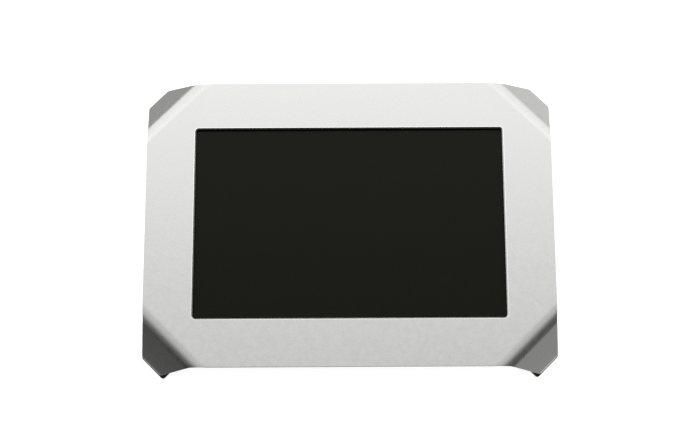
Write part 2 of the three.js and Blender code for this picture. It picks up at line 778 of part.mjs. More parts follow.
// ---------------------------------------------------------------- memory card and its slot
const slotFace = wallX - gap;
const slotMiddle = slotFace - cardSlot.depth / 2;
const slotBottom = underBoard - cardSlot.height;
const slotInside = block(
  cardSlot.depth,
  cardSlot.width - 2 * cardSlot.wall,
  slotBottom + cardSlot.wall,
  underBoard - cardSlot.wall,
  slotMiddle + cardSlot.wall,
);
const slotShell = block(cardSlot.depth, cardSlot.width, slotBottom, underBoard, slotMiddle);
piece("card_slot", slotShell.subtract(slotInside), "steel").position.y = cardMiddle;
const cardEnd = sideFace + card.proud;
const cardBody = block(card.length, card.width, 0, card.thickness, cardEnd - card.length / 2);
piece("memory_card", cardBody, "blackPlastic").position.set(0, cardMiddle, cardBottom);
wallCuts.push(
  block(
    2 * (housingWall + overrun),
    card.width + 2 * rimClearance,
    cardBottom - rimClearance,
    cardBottom + card.thickness + rimClearance,
    wallX + housingWall / 2,
    cardMiddle,
  ),
);

// ---------------------------------------------------------------- power button
const flangeFace = wallX - gap;
const flangeBack = flangeFace - button.flangeThickness;
const stemEnd = flangeBack - button.stem;
const cap = rodAlongX(button.radius, flangeBack, sideFace + button.proud, 0, 0);
const collar = rodAlongX(button.flangeRadius, flangeBack, flangeFace, 0, 0);
const stem = rodAlongX(button.stemRadius, stemEnd, flangeFace, 0, 0);
piece("power_button", joined([cap, collar, stem]), "aluminium").position.set(0, buttonY, buttonHeight);
const buttonHole = button.radius + rimClearance;
wallCuts.push(rodAlongX(buttonHole, wallX - overrun, sideFace + overrun, buttonY, buttonHeight));

// The switch's plunger waits one travel behind the stem.
const switchFace = stemEnd - button.travel - gap;
const switchLow = buttonHeight - switchBody.size / 2;
const switchBlock = block(
  switchBody.depth,
  switchBody.size,
  switchLow,
  underBoard,
  switchFace - switchBody.depth / 2,
);
piece("button_switch", switchBlock, "blackPlastic").position.y = buttonY;

// ---------------------------------------------------------------- rear housing
// One folded tray with ears that sit on the front plate's studs.
function vents() {
  const low = (rearFaceHeight + housingTop - ventHeight) / 2;
  const deep = 2 * (housingWall + overrun);
  const slots = [];
  for (let i = 0; i < ventCount.top; i++) {
    const x = (i - (ventCount.top - 1) / 2) * ventPitch;
    slots.push(block(ventWidth, deep, low, low + ventHeight, x, wallY + housingWall / 2));
  }
  for (let i = 0; i < ventCount.left; i++) {
    const y = (i - (ventCount.left - 1) / 2) * ventPitch;
    slots.push(block(deep, ventWidth, low, low + ventHeight, -wallX - housingWall / 2, y));
  }
  return slots;
}

const vesaPlaces = quarters.map(({ number, sx, sy }) => ({
  number,
  x: (sx * vesaPitch) / 2,
  y: (sy * vesaPitch) / 2,
}));

function rearHousing() {
  const innerRadius = housingCornerRadius - housingWall;
  const tray = roundedBlock(housingWidth, housingHeight, housingCornerRadius, rearFaceHeight, housingTop);
  const inside = roundedBlock(2 * wallX, 2 * wallY, innerRadius, housingFloor, housingTop + overrun);
  const earBottom = housingTop - housingWall;
  const ears = earPlaces.map(({ x, y, width, depth }) => block(width, depth, earBottom, housingTop, x, y));
  const studHoles = earPlaces.map(({ x, y }) =>
    rod(studRadius + gap, earBottom - overrun, housingTop + overrun, x, y),
  );
  const insertHoles = vesaPlaces.map(({ x, y }) =>
    rod(insertShankRadius + gap, rearFaceHeight - overrun, housingFloor + overrun, x, y),
  );
  const hollow = tray.add(joined(ears)).subtract(inside);
  return without(hollow, [...studHoles, ...insertHoles, ...wallCuts, ...vents()]);
}
piece("rear_housing", rearHousing(), "powderCoat");

const housingNut = nut(nutAcross, nutHeight, studRadius + gap);
earPlaces.forEach(({ x, y }, i) => {
  const mesh = piece(`housing_nut_${i + 1}`, housingNut, "zinc");
  mesh.position.set(x, y, housingTop - housingWall - gap);
});

// Threaded inserts for an arm or a wall bracket, pressed into the rear face.
function threadedInsert() {
  const bodyBottom = housingFloor + gap;
  const top = bodyBottom + insertBody.height;
  const body = rod(insertBody.radius, bodyBottom, top);
  const shank = rod(insertShankRadius, rearFaceHeight, bodyBottom + gap);
  return body.add(shank).subtract(rod(insertBore, rearFaceHeight - overrun, top + overrun));
}
for (const { number, x, y } of vesaPlaces) {
  piece(`mount_insert_${number}`, threadedInsert(), "steel").position.set(x, y, 0);
}

export default panel;
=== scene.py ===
import math

import bmesh
import bpy
from mathutils import Matrix, Vector


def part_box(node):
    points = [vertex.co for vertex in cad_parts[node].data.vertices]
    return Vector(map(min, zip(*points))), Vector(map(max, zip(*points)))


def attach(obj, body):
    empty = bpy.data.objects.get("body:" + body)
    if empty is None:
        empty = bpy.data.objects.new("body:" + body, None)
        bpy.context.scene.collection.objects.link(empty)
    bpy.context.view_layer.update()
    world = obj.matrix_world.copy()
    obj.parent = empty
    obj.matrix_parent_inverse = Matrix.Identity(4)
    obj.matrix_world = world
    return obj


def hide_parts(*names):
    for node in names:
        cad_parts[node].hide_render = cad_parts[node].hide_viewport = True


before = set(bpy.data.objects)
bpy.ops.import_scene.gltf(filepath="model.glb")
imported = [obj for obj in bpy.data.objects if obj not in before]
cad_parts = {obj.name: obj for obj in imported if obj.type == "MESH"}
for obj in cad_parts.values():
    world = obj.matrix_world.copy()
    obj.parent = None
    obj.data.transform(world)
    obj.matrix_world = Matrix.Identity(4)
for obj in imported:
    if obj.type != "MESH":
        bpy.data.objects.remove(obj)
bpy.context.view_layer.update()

MM = 0.001


# ---------------- front plate
# One sheet of 2 mm aluminium, laser cut. Its corners are folded down along diagonals and
# rolled under into return flanges. It is bead blasted and clear anodised all over, apart
# from a thin land milled round the window after the blasting. That land is coloured paler:
# partly the bare cut metal, partly a painted highlight along the window's edge.

def rounded_outline(corners, radius, steps=8):
    """Points round a convex outline with its corners rounded, anticlockwise."""
    points = []
    for i, corner in enumerate(corners):
        corner = Vector(corner)
        back = (Vector(corners[i - 1]) - corner).normalized()
        ahead = (Vector(corners[(i + 1) % len(corners)]) - corner).normalized()
        half = back.angle(ahead) / 2
        centre = corner + (back + ahead).normalized() * (radius / math.sin(half))
        first = corner + back * (radius / math.tan(half)) - centre
        for step in range(steps + 1):
            angle = (math.pi - 2 * half) * step / steps
            points.append(centre + Matrix.Rotation(angle, 2) @ first)
    return points


def rounded_rectangle(half_a, half_b, radius, steps=8):
    corners = ((-half_a, -half_b), (half_a, -half_b), (half_a, half_b), (-half_a, half_b))
    return rounded_outline(corners, radius, steps)


def skin(bm, rings, closed=False):
    """Joins each ring of points to the next. The last joins the first, or both are capped."""
    rows = [[bm.verts.new(point) for point in ring] for ring in rings]
    for low, high in zip(rows, rows[1:] + rows[:1] if closed else rows[1:]):
        for i in range(len(low)):
            j = (i + 1) % len(low)
            bm.faces.new((low[i], low[j], high[j], high[i]))
    if not closed:
        bm.faces.new(rows[0])
        bm.faces.new(rows[-1])


def mesh_of(bm):
    """The mesh of a closed shape, with its faces turned outwards."""
    bmesh.ops.recalc_face_normals(bm, faces=bm.faces)
    mesh = bpy.data.meshes.new("part")
    bm.to_mesh(mesh)
    bm.free()
    return mesh


def linked(mesh):
    maker = bpy.data.objects.new("maker", mesh)
    bpy.context.scene.collection.objects.link(maker)
    return maker


def evaluated_mesh(maker):
    depsgraph = bpy.context.evaluated_depsgraph_get()
    return bpy.data.meshes.new_from_object(maker.evaluated_get(depsgraph))


def piece(name, mesh, body, slot, nodes, *materials, smooth_below=40):
    """A finished piece. Its edges are soft and its flats stay flat in the shading."""
    for material in materials:
        mesh.materials.append(material)
    mesh.shade_smooth()
    mesh.set_sharp_from_angle(angle=math.radians(smooth_below))
    made = linked(mesh)
    made.name = name
    flats = made.modifiers.new("flats", "WEIGHTED_NORMAL")
    flats.keep_sharp = True
    finished = evaluated_mesh(made)
    made.modifiers.remove(flats)
    made.data = finished
    finished.name = name
    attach(made, body)
    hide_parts(*nodes)
    return made


def node_group(name, kind, inputs, outputs):
    """A node group, and the nodes at its two ends. Each input has a label, a kind of socket
    and its first value, if it has one."""
    group = bpy.data.node_groups.new(name, kind)
    for label, socket, *value in inputs:
        made = group.interface.new_socket(label, in_out="INPUT", socket_type="NodeSocket" + socket)
        if value:
            made.default_value = value[0]
    for label, socket in outputs:
        group.interface.new_socket(label, in_out="OUTPUT", socket_type="NodeSocket" + socket)
    return group, group.nodes.new("NodeGroupInput"), group.nodes.new("NodeGroupOutput")


def feed(tree, socket, value):
    """Gives a socket its value: another node's output, a number, or a colour as a triple."""
    if isinstance(value, bpy.types.NodeSocket):
        tree.links.new(value, socket)
    elif socket.type == "RGBA":
        socket.default_value = (*value[:3], 1.0)
    else:
        socket.default_value = value


def add_node(tree, kind, settings=None, **values):
    """A node with its settings, and what feeds its sockets, with _ for a space."""
    node = tree.nodes.new(kind)
    for key, value in (settings or {}).items():
        setattr(node, key, value)
    for key, value in values.items():
        feed(tree, node.inputs[key.replace("_", " ")], value)
    return node


def maths(tree, operation, *sides):
    node = add_node(tree, "ShaderNodeMath", {"operation": operation})
    for socket, value in zip(node.inputs, sides):
        feed(tree, socket, value)
    return node.outputs[0]


def mixed(tree, share, first, second, blend="MIX"):
    """A mix of two colours."""
    node = add_node(tree, "ShaderNodeMix", {"data_type": "RGBA", "blend_type": blend})
    for index, value in ((0, share), (6, first), (7, second)):
        feed(tree, node.inputs[index], value)
    return node.outputs[2]


def surface_grain_group():
    """Fine pits over a soft mottle, as a tone, a roughness shift and a height."""
    group, start, end = node_group(
        "surface grain",
        "ShaderNodeTree",
        [
            ("Vector", "Vector"),
            ("Grain Scale", "Float", 1800.0),
            ("Mottle Scale", "Float", 260.0),
            ("Tone Depth", "Float", 0.05),
            ("Roughness Depth", "Float", 0.08),
        ],
        [("Tone", "Float"), ("Roughness Shift", "Float"), ("Height", "Float")],
    )
    given = start.outputs
    noise = {"Vector": given["Vector"], "Scale": given["Grain Scale"]}
    pits = add_node(group, "ShaderNodeTexNoise", **noise, Detail=3.0, Roughness=0.65).outputs["Fac"]
    noise["Scale"] = given["Mottle Scale"]
    mottle = add_node(group, "ShaderNodeTexNoise", **noise, Detail=4.0, Roughness=0.55).outputs["Fac"]
    pit = maths(group, "SUBTRACT", pits, 0.5)
    cloud = maths(group, "SUBTRACT", mottle, 0.5)
    tone = maths(group, "MULTIPLY", maths(group, "ADD", pit, cloud), given["Tone Depth"])
    feed(group, end.inputs["Tone"], maths(group, "ADD", tone, 1.0))
    feed(group, end.inputs["Roughness Shift"], maths(group, "MULTIPLY", cloud, given["Roughness Depth"]))
    feed(group, end.inputs["Height"], pits)
    return group


def edge_rub_group():
    """Where handling has rubbed the raised edges, broken up by noise."""
    group, start, end = node_group(
        "edge rub",
        "ShaderNodeTree",
        [("Vector", "Vector"), ("Patch Scale", "Float", 300.0), ("Reach", "Float", 0.52)],
        [("Mask", "Float")],
    )
    given = start.outputs
    relief = add_node(group, "ShaderNodeNewGeometry").outputs["Pointiness"]
    noise = {"Vector": given["Vector"], "Scale": given["Patch Scale"]}
    patches = add_node(group, "ShaderNodeTexNoise", **noise, Detail=4.0, Roughness=0.7)
    strong = maths(group, "MULTIPLY", maths(group, "SUBTRACT", relief, given["Reach"]), 12.0)
    broken = maths(group, "MULTIPLY", strong, patches.outputs["Fac"])
    feed(group, end.inputs["Mask"], maths(group, "MINIMUM", maths(group, "MAXIMUM", broken, 0.0), 1.0))
    return group


surface_grain = surface_grain_group()
edge_rub = edge_rub_group()


def grained(name, colour, metallic, roughness, grain, pits, rubbed=None, **constants):
    """A finish with grain in its colour, roughness and relief. grain holds the pits' scale,
    the mottle's scale, and the depth of both in tone and in roughness. pits is the pits'
    depth in millimetres, and rubbed the colour that shows on worn edges."""
    material = bpy.data.materials.new(name)
    material.use_nodes = True
    tree = material.node_tree
    shader = tree.nodes["Principled BSDF"].inputs
    place = add_node(tree, "ShaderNodeTexCoord").outputs["Object"]
    labels = ("Grain_Scale", "Mottle_Scale", "Tone_Depth", "Roughness_Depth")
    depths = dict(zip(labels, grain))
    pattern = add_node(tree, "ShaderNodeGroup", {"node_tree": surface_grain}, Vector=place, **depths)
    given = pattern.outputs
    base = mixed(tree, 1.0, colour, given["Tone"], "MULTIPLY")
    if rubbed:
        wear = add_node(tree, "ShaderNodeGroup", {"node_tree": edge_rub}, Vector=place)
        base = mixed(tree, wear.outputs["Mask"], base, rubbed)
    relief = add_node(tree, "ShaderNodeBump", Strength=1.0, Distance=pits * MM, Height=given["Height"])
    feed(tree, shader["Base Color"], base)
    feed(tree, shader["Roughness"], maths(tree, "ADD", given["Roughness Shift"], roughness))
    feed(tree, shader["Normal"], relief.outputs["Normal"])
    feed(tree, shader["Metallic"], metallic)
    for label, value in constants.items():
        feed(tree, shader[label.replace("_", " ")], value)
    return material


def metal(name, colour, **look):
    return grained(name, colour, metallic=1.0, **look)


def coating(name, colour, **look):
    """Anything that isn't bare metal."""
    return grained(name, colour, metallic=0.0, **look)


plate_low, plate_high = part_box("front_plate")
glass_low, glass_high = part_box("touch_glass")
sheet = 2.0 * MM
deburred = 0.3 * MM
face_height = plate_high.z
glass_overlap = Vector((5.75, 6.4)) * MM
window_half = glass_high.xy - glass_overlap
window_radius = 2.0 * MM
window_cut = 0.8 * MM
milled_highlight_land = 0.35 * MM
margin = Vector((34.8, 34.2)) * MM
plate_half = window_half + margin
fold_leg = 44.8 * MM
crease_leg = 33.3 * MM
tab_slope = math.radians(50)
fold_radius = 14.0 * MM
roll_radius = 4.0 * MM
shoulder_half = 9.4 * MM
shoulder_round = 1.4 * MM
flange_half = 8.0 * MM
flange_length = 13.0 * MM
flange_round = 3.0 * MM
corner_signs = ((-1, -1), (1, -1), (1, 1), (-1, 1))

fold_start = -fold_leg / math.sqrt(2)
crease = -crease_leg / math.sqrt(2)
fold_drop = fold_radius * (1 - math.cos(tab_slope))
roll_drop = roll_radius * (1 + math.cos(tab_slope))
tab_flat = (face_height - plate_low.z - fold_drop - roll_drop) / math.sin(tab_slope)
fold_run = (fold_radius - roll_radius) * math.sin(tab_slope)
roll_centre = fold_start + fold_run + tab_flat * math.cos(tab_slope)
tab_reach = roll_centre + roll_radius


def tab_half_width(u):
    """Half the tab's width at a distance along its diagonal, down to its round shoulders."""
    if u <= crease:
        return -u
    taper = (-crease - shoulder_half) / (tab_reach - crease)
    straight = shoulder_half + (tab_reach - u) * taper
    share = min(max(u - tab_reach + shoulder_round, 0) / shoulder_round, 1)
    return straight - shoulder_round * (1 - math.sqrt(1 - share * share))


def tab_stations():
    """The tab's outer face from the flat of the plate to the end of its flange, as distance
    along the diagonal, height, slope and half width."""
    stations = []
    for support in (1.0 * MM, 0.0):
        stations.append((fold_start - support, face_height, 0.0, support - fold_start))
    fold_steps = 18
    for i in range(1, fold_steps + 1):
        angle = tab_slope * i / fold_steps
        u = fold_start + fold_radius * math.sin(angle)
        z = face_height - fold_radius * (1 - math.cos(angle))
        stations.append((u, z, angle, tab_half_width(u)))
    flat_steps = 14
    for i in range(1, flat_steps):
        along = tab_flat * i / flat_steps
        across = u + along * math.cos(tab_slope)
        stations.append((across, z - along * math.sin(tab_slope), tab_slope, tab_half_width(across)))
    roll_steps = 26
    for i in range(roll_steps + 1):
        angle = tab_slope + (math.pi - tab_slope) * i / roll_steps
        across = roll_centre + roll_radius * math.sin(angle)
        drop = plate_low.z + roll_radius * (1 + math.cos(angle))
        half = max(tab_half_width(across), flange_half) if angle < math.pi / 2 else flange_half
        stations.append((across, drop, angle, half))
    flange_steps = 12
    for i in range(1, flange_steps + 1):
        run = flange_length * i / flange_steps
        curve = min(max(1 - (flange_length - run) / flange_round, 0), 1)
        half = flange_half - flange_round * (1 - math.sqrt(1 - curve * curve))
        stations.append((roll_centre - run, plate_low.z, math.pi, half))
    return stations


def corner_point(signs, u, across, z):
    """A point given out along a corner's diagonal and across it. Across runs from the short
    side's end of the fold to the long side's."""
    x = signs[0] * (plate_half.x + (u - across) / math.sqrt(2))
    y = signs[1] * (plate_half.y + (u + across) / math.sqrt(2))
    return Vector((x, y, z))


def tab_grid(bm, signs, depth, columns):
    """One face of a tab, at a depth into the sheet, as rows of vertices."""
    rows = []
    for u, z, angle, half in tab_stations():
        at = u - depth * math.sin(angle)
        height = z - depth * math.cos(angle)
        spread = [half * (2 * i / columns - 1) for i in range(columns + 1)]
        rows.append([bm.verts.new(corner_point(signs, at, across, height)) for across in spread])
    for low, high in zip(rows, rows[1:]):
        for i in range(columns):
            bm.faces.new((low[i], low[i + 1], high[i + 1], high[i]))
    return rows


def fill_flat(bm, borders, window):
    """The flat of the plate, between the tabs' first rows and the window."""
    rim = [vertex for border in borders for vertex in border]
    pairs = list(zip(rim, rim[1:] + rim[:1])) + list(zip(window, window[1:] + window[:1]))
    edges = [bm.edges.get(pair) or bm.edges.new(pair) for pair in pairs]
    bmesh.ops.triangle_fill(bm, use_beauty=True, edges=edges)


def front_plate_mesh():
    bm = bmesh.new()
    columns = 12
    borders = {}
    for depth in (0.0, sheet):
        borders[depth] = []
        for signs in corner_signs:
            rows = tab_grid(bm, signs, depth, columns)
            anticlockwise = signs[0] * signs[1] > 0
            borders[depth].append((rows, rows[0] if anticlockwise else rows[0][::-1]))
    for (outer, _), (inner, _) in zip(borders[0.0], borders[sheet]):
        for i in range(columns):
            bm.faces.new((outer[-1][i], outer[-1][i + 1], inner[-1][i + 1], inner[-1][i]))
        for side in (0, -1):
            for j in range(len(outer) - 1):
                quad = (outer[j][side], outer[j + 1][side], inner[j + 1][side], inner[j][side])
                bm.faces.new(quad)
    for k in range(4):
        upper, after = borders[0.0][k][1][-1], borders[0.0][(k + 1) % 4][1][0]
        lower, below = borders[sheet][k][1][-1], borders[sheet][(k + 1) % 4][1][0]
        bm.faces.new((upper, after, below, lower))
    window = []
    land = window_cut + milled_highlight_land
    for grow, z in ((land, 0.0), (window_cut, 0.0), (0.0, window_cut), (0.0, sheet)):
        sides = rounded_rectangle(window_half.x + grow, window_half.y + grow, window_radius + grow)
        window.append([bm.verts.new((x, y, face_height - z)) for x, y in sides])
    # Slot 1, on the flat land round the window, carries the painted highlight.
    for k, slot in ((0, 1), (1, 0), (2, 0)):
        upper, lower = window[k], window[k + 1]
        for i in range(len(upper)):
            j = (i + 1) % len(upper)
            bm.faces.new((upper[i], upper[j], lower[j], lower[i])).material_index = slot
    fill_flat(bm, [border for _, border in borders[0.0]], window[0])
    fill_flat(bm, [border for _, border in borders[sheet]], window[3])
    bmesh.ops.recalc_face_normals(bm, faces=bm.faces)
    outline_edges = []
    for edge in bm.edges:
        past_x = abs(edge.verts[0].co.x) - window_half.x
        past_y = abs(edge.verts[0].co.y) - window_half.y
        if max(past_x, past_y) > sheet and edge.calc_face_angle(0) > math.radians(60):
            outline_edges.append(edge)
    rounding = {"offset": deburred, "segments": 2, "profile": 0.5, "clamp_overlap": True}
    bmesh.ops.bevel(bm, geom=outline_edges, affect="EDGES", **rounding)
    return mesh_of(bm)


blasted_aluminium = metal(
    "bead blasted aluminium", (0.56, 0.56, 0.548),
    roughness=0.27, grain=(1500, 240, 0.10, 0.10), pits=0.012,
)
# Partly bare milled metal and partly a painted highlight: the land lies flat with the plate and is brighter
# by its colour alone.
milled_edge_and_highlight = metal(
    "milled edge with painted highlight", (0.90, 0.90, 0.885),
    roughness=0.30, grain=(900, 300, 0.04, 0.05), pits=0.004,
)
finishes = (blasted_aluminium, milled_edge_and_highlight)
plate = front_plate_mesh()
piece("front_plate_sheet", plate, "panel", "panel_aluminium", ["front_plate"], *finishes, smooth_below=25)


# ---------------- weld studs
# Ten copper coated steel studs, fired onto the back of the plate. The six thicker ones hold
# the housing's ears and the four thinner ones the display's straps.

FACING = {
    "up": ((1, 0, 0), (0, 1, 0), (0, 0, 1)),
    "down": ((1, 0, 0), (0, -1, 0), (0, 0, -1)),
    "front": ((1, 0, 0), (0, 0, 1), (0, -1, 0)),
    "right": ((0, 1, 0), (0, 0, 1), (1, 0, 0)),
}


def circle(radius, sides=24):
    angles = [2 * math.pi * i / sides for i in range(sides)]
    return [(radius * math.cos(angle), radius * math.sin(angle)) for angle in angles]


def turned(profile, sides=24):
    """The rings of a turned part, from its radius at each distance along."""
    return [(circle(radius, sides), along) for radius, along in profile]


def stack(bm, layers, facing="up", centre=(0, 0, 0), closed=False):
    """Outlines in millimetres, each at its distance along an axis, joined into a shape. The
    centre is in metres."""
    a, b, c = (Vector(axis) for axis in FACING[facing])
    rings = []
    for outline, along in layers:
        rings.append([Vector(centre) + (a * p + b * q + c * along) * MM for p, q in outline])
    skin(bm, rings, closed)


def shape(layers, facing="up", centre=(0, 0, 0), closed=False):
    """The same as a mesh of its own."""
    bm = bmesh.new()
    stack(bm, layers, facing, centre, closed)
    return mesh_of(bm)


def made_by(tree, start, **values):
    """The mesh that a Geometry Nodes tree makes from a starting mesh and named inputs."""
    maker = linked(start)
    modifier = maker.modifiers.new("maker", "NODES")
    modifier.node_group = tree
    for item in tree.interface.items_tree:
        if item.in_out == "INPUT" and item.name in values:
            modifier[item.identifier] = values[item.name]
    mesh = evaluated_mesh(maker)
    bpy.data.objects.remove(maker)
    return mesh


def finish_tree(group, given, end, points, rotation=(0, 0, 0)):
    """Ends a tree: the part on each point, as real geometry in the finish that was given."""
    part = add_node(group, "GeometryNodeObjectInfo", Object=given["Part"]).outputs["Geometry"]
    placing = {"Points": points, "Instance": part, "Rotation": rotation}
    put = add_node(group, "GeometryNodeInstanceOnPoints", **placing).outputs["Instances"]
    real = add_node(group, "GeometryNodeRealizeInstances", Geometry=put).outputs["Geometry"]
    painting = {"Geometry": real, "Material": given["Finish"]}
    painted = add_node(group, "GeometryNodeSetMaterial", **painting).outputs["Geometry"]
    feed(group, end.inputs["Geometry"], painted)


def copies_tree():
    """A part on each point, turned about the upright by the point's own angle."""
    inputs = [("Points", "Geometry"), ("Part", "Object"), ("Finish", "Material")]
    outputs = [("Geometry", "Geometry")]
    group, start, end = node_group("copies on points", "GeometryNodeTree", inputs, outputs)
    turn = add_node(group, "GeometryNodeInputNamedAttribute", {"data_type": "FLOAT"}, Name="turn")
    upright = add_node(group, "ShaderNodeCombineXYZ", Z=turn.outputs["Attribute"]).outputs["Vector"]
    finish_tree(group, start.outputs, end, start.outputs["Points"], upright)
    return group


copies_on_points = copies_tree()


def copies(part, finish, places, turns=None):
    """One mesh of a part at every place, in metres."""
    source = linked(part)
    points = bpy.data.meshes.new("places")
    points.from_pydata([Vector(place) for place in places], [], [])
    turn = points.attributes.new("turn", "FLOAT", "POINT")
    turn.data.foreach_set("value", turns or [0.0] * len(places))
    mesh = made_by(copies_on_points, points, Part=source, Finish=finish)
    bpy.data.objects.remove(source)
    return mesh


def middle(node):
    low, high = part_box(node)
    return (low + high) / 2


def numbered(name, count=4):
    """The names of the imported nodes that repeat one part."""
    return [f"{name}_{i}" for i in range(1, count + 1)]


def thread(radius, depth, length, pitch=0.5, along=0.0):
    """The rings of a screw thread's ridges, from one end to the other."""
    profile = []
    for i in range(int(length / pitch)):
        profile += [(radius - depth, along + pitch * i), (radius, along + pitch * (i + 0.5))]
    return turned(profile + [(radius - depth, along + length)])


housing_nut_places = [middle(node) for node in numbered("housing_nut", 6)]
strap_nut_places = [middle(node) for node in numbered("strap_nut")]
plate_back = face_height - sheet
coppered_steel = metal(
    "coppered steel", (0.68, 0.42, 0.30),
    roughness=0.38, grain=(2600, 500, 0.2, 0.15), pits=0.008,
)
for name, places, radius, length in (
    ("housing_studs", housing_nut_places, 1.5, 5.6),
    ("strap_studs", strap_nut_places, 1.25, 4.6),
):
    stud = shape(thread(radius, 0.14, length), "down")
    roots = [(place.x, place.y, plate_back) for place in places]
    studs = copies(stud, coppered_steel, roots)
    piece(name, studs, "panel", "zinc_steel", ["front_plate"], smooth_below=80)


# ---------------- nuts
# Zinc plated steel hexagon nuts, chamfered on both faces. Six hold the housing and four
# smaller ones the display's straps.

def hexagon(across, sides=24):
    """Points round a hexagon at even angles."""
    points = []
    for i in range(sides):
        angle = 2 * math.pi * i / sides
        from_flat = (angle + math.pi / 6) % (math.pi / 3) - math.pi / 6
        radius = across / 2 / math.cos(from_flat)
        points.append((radius * math.cos(angle), radius * math.sin(angle)))
    return points


def nut_layers(across, height, bore, thread_depth=0.12):
    """A nut's rings, up the outside and back down the threaded bore."""
    face, mouth = circle(across / 2 * 0.97), circle(bore + 0.3)
    chamfer = across * 0.06
    layers = [(face, 0.0), (hexagon(across), chamfer), (hexagon(across), height - chamfer)]
    inside = thread(bore, -thread_depth, height - 0.6, along=0.3)
    return layers + [(face, height), (mouth, height), *inside[::-1], (mouth, 0.0)]


zinc_plate = metal(
    "zinc plate", (0.70, 0.71, 0.69),
    roughness=0.34, grain=(2200, 420, 0.16, 0.2), pits=0.006,
)
for name, places, across, height, bore in (
    ("housing_nut", housing_nut_places, 5.5, 2.4, 1.62),
    ("strap_nut", strap_nut_places, 5.0, 2.0, 1.37),
):
    nodes = numbered(name, len(places))
    nut = shape(nut_layers(across, height, bore), closed=True)
    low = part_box(nodes[0])[0].z
    seats = [(place.x, place.y, low) for place in places]
    piece(name + "s", copies(nut, zinc_plate, seats), "panel", "zinc_steel", nodes)


# ---------------- rubber feet
# Four moulded black rubber blocks under the return flanges, softly rounded, with ribs on
# the sole for grip and a counterbore for the screw.

def round_to(outline, radius):
    """Points on a circle, in the same directions as the points of an outline."""
    scale = [radius / math.hypot(a, b) for a, b in outline]
    return [(a * s, b * s) for s, (a, b) in zip(scale, outline)]


def foot_outline(inset):
    return rounded_rectangle(8.0 - inset, 11.2 - inset, max(2.0 - inset, 0.3), steps=6)


def rubber_foot():
    """A foot on its sole, out along X, with its mouldings from the sole to the counterbore."""
    base = foot_outline(0)
    layers = [(round_to(base, 3.2), 2.2), (round_to(base, 3.2), 0.3), (round_to(base, 3.5), 0.0)]
    profile = []
    for inset in (3.0, 1.6):
        profile += [(inset, 0.0), (inset - 0.15, 0.35), (inset - 0.55, 0.35), (inset - 0.7, 0.0)]
    profile += [(0.6, 0.0), (0.18, 0.16), (0, 0.6), (0.1, 2.6), (0.3, 3.05), (0.75, 3.2)]
    layers += [(foot_outline(inset), height) for inset, height in profile]
    layers += [(round_to(base, 1.8), 3.2), (round_to(base, 1.8), 2.2)]
    return shape(layers, closed=True)


foot_places = [middle(node) for node in numbered("rubber_foot")]
foot_turns = [math.atan2(sy, sx) for sx, sy in corner_signs]
moulded_rubber = coating(
    "moulded rubber", (0.018, 0.018, 0.018),
    roughness=0.72, grain=(2400, 300, 0.5, 0.2), pits=0.02,
    rubbed=(0.05, 0.05, 0.05), Specular_IOR_Level=0.35,
)
soles = [(place.x, place.y, 0.0) for place in foot_places]
feet = copies(rubber_foot(), moulded_rubber, soles, foot_turns)
piece("rubber_feet", feet, "panel", "foot_rubber", numbered("rubber_foot"), smooth_below=60)


# ---------------- foot screws
# Stainless button head screws with a hexagon socket, driven up through the feet into the
# flanges.

def screw_layers(head, height, shank, length, socket, crown=0.3):
    """A button head screw's rings, from its tip to the floor of its hexagon socket. The seat
    is at zero and the head beyond it."""
    layers = turned([(shank - 0.3, -length)])
    layers += thread(shank, 0.12, length - 0.9, along=0.3 - length)
    profile = [(shank - 0.05, -0.5), (shank, 0.0), (head, 0.0), (head, height * 0.25)]
    for share in (0.35, 0.7, 1.0):
        drop = crown * head * (1 - math.cos(share * math.pi / 2))
        profile.append((head - drop, height * (0.25 + 0.75 * math.sin(share * math.pi / 2))))
    layers += turned(profile + [(socket * 0.62, height)])
    return layers + [(hexagon(socket), height - 0.12), (hexagon(socket), height * 0.3)]


stainless = metal(
    "stainless steel", (0.62, 0.615, 0.60),
    roughness=0.26, grain=(2600, 300, 0.12, 0.16), pits=0.004,
)
counterbore_floor = 1.9 * MM
foot_screw = shape(screw_layers(head=2.9, height=1.5, shank=1.5, length=7.0, socket=2.0), "down")
screw_seats = [(place.x, place.y, counterbore_floor) for place in foot_places]
foot_screws = copies(foot_screw, stainless, screw_seats, foot_turns)
piece("foot_screws", foot_screws, "panel", "stainless", numbered("foot_screw"))


# ---------------- touch glass
# A sheet of strengthened glass with ground edges, an anti-glare face, and a darker border
# round the lit area, partly black print behind it and partly painted shade from the plate's edge.

def within(tree, place, half_x, half_y):
    """One inside a rectangle about the origin, and zero outside it."""
    split = add_node(tree, "ShaderNodeSeparateXYZ", Vector=place).outputs
    inside = []
    for axis, half in (("X", half_x), ("Y", half_y)):
        inside.append(maths(tree, "LESS_THAN", maths(tree, "ABSOLUTE", split[axis]), half))
    return maths(tree, "MULTIPLY", *inside)


screen_glass = coating(
    "anti-glare glass", (0.0030, 0.0032, 0.0022),
    roughness=0.24, grain=(1500, 180, 0.6, 0.06), pits=0.002,
    Specular_IOR_Level=0.11, Specular_Tint=(0.96, 1.0, 0.84, 1.0),
)
tree = screen_glass.node_tree
glass_place = tree.nodes["Texture Coordinate"].outputs["Object"]
glass_colour = tree.nodes["Principled BSDF"].inputs["Base Color"]
reveal = 0.8 * MM
lit_area = within(tree, glass_place, window_half.x - reveal, window_half.y - reveal)
# The strip round the lit area is darkened: partly black print, partly painted shade where the plate's edge
# overhangs the glass.
border_print_and_shade = mixed(tree, lit_area, (0.35, 0.35, 0.35), (1.0, 1.0, 1.0))
feed(tree, glass_colour, mixed(tree, 1.0, glass_colour.links[0].from_socket, border_print_and_shade, "MULTIPLY"))


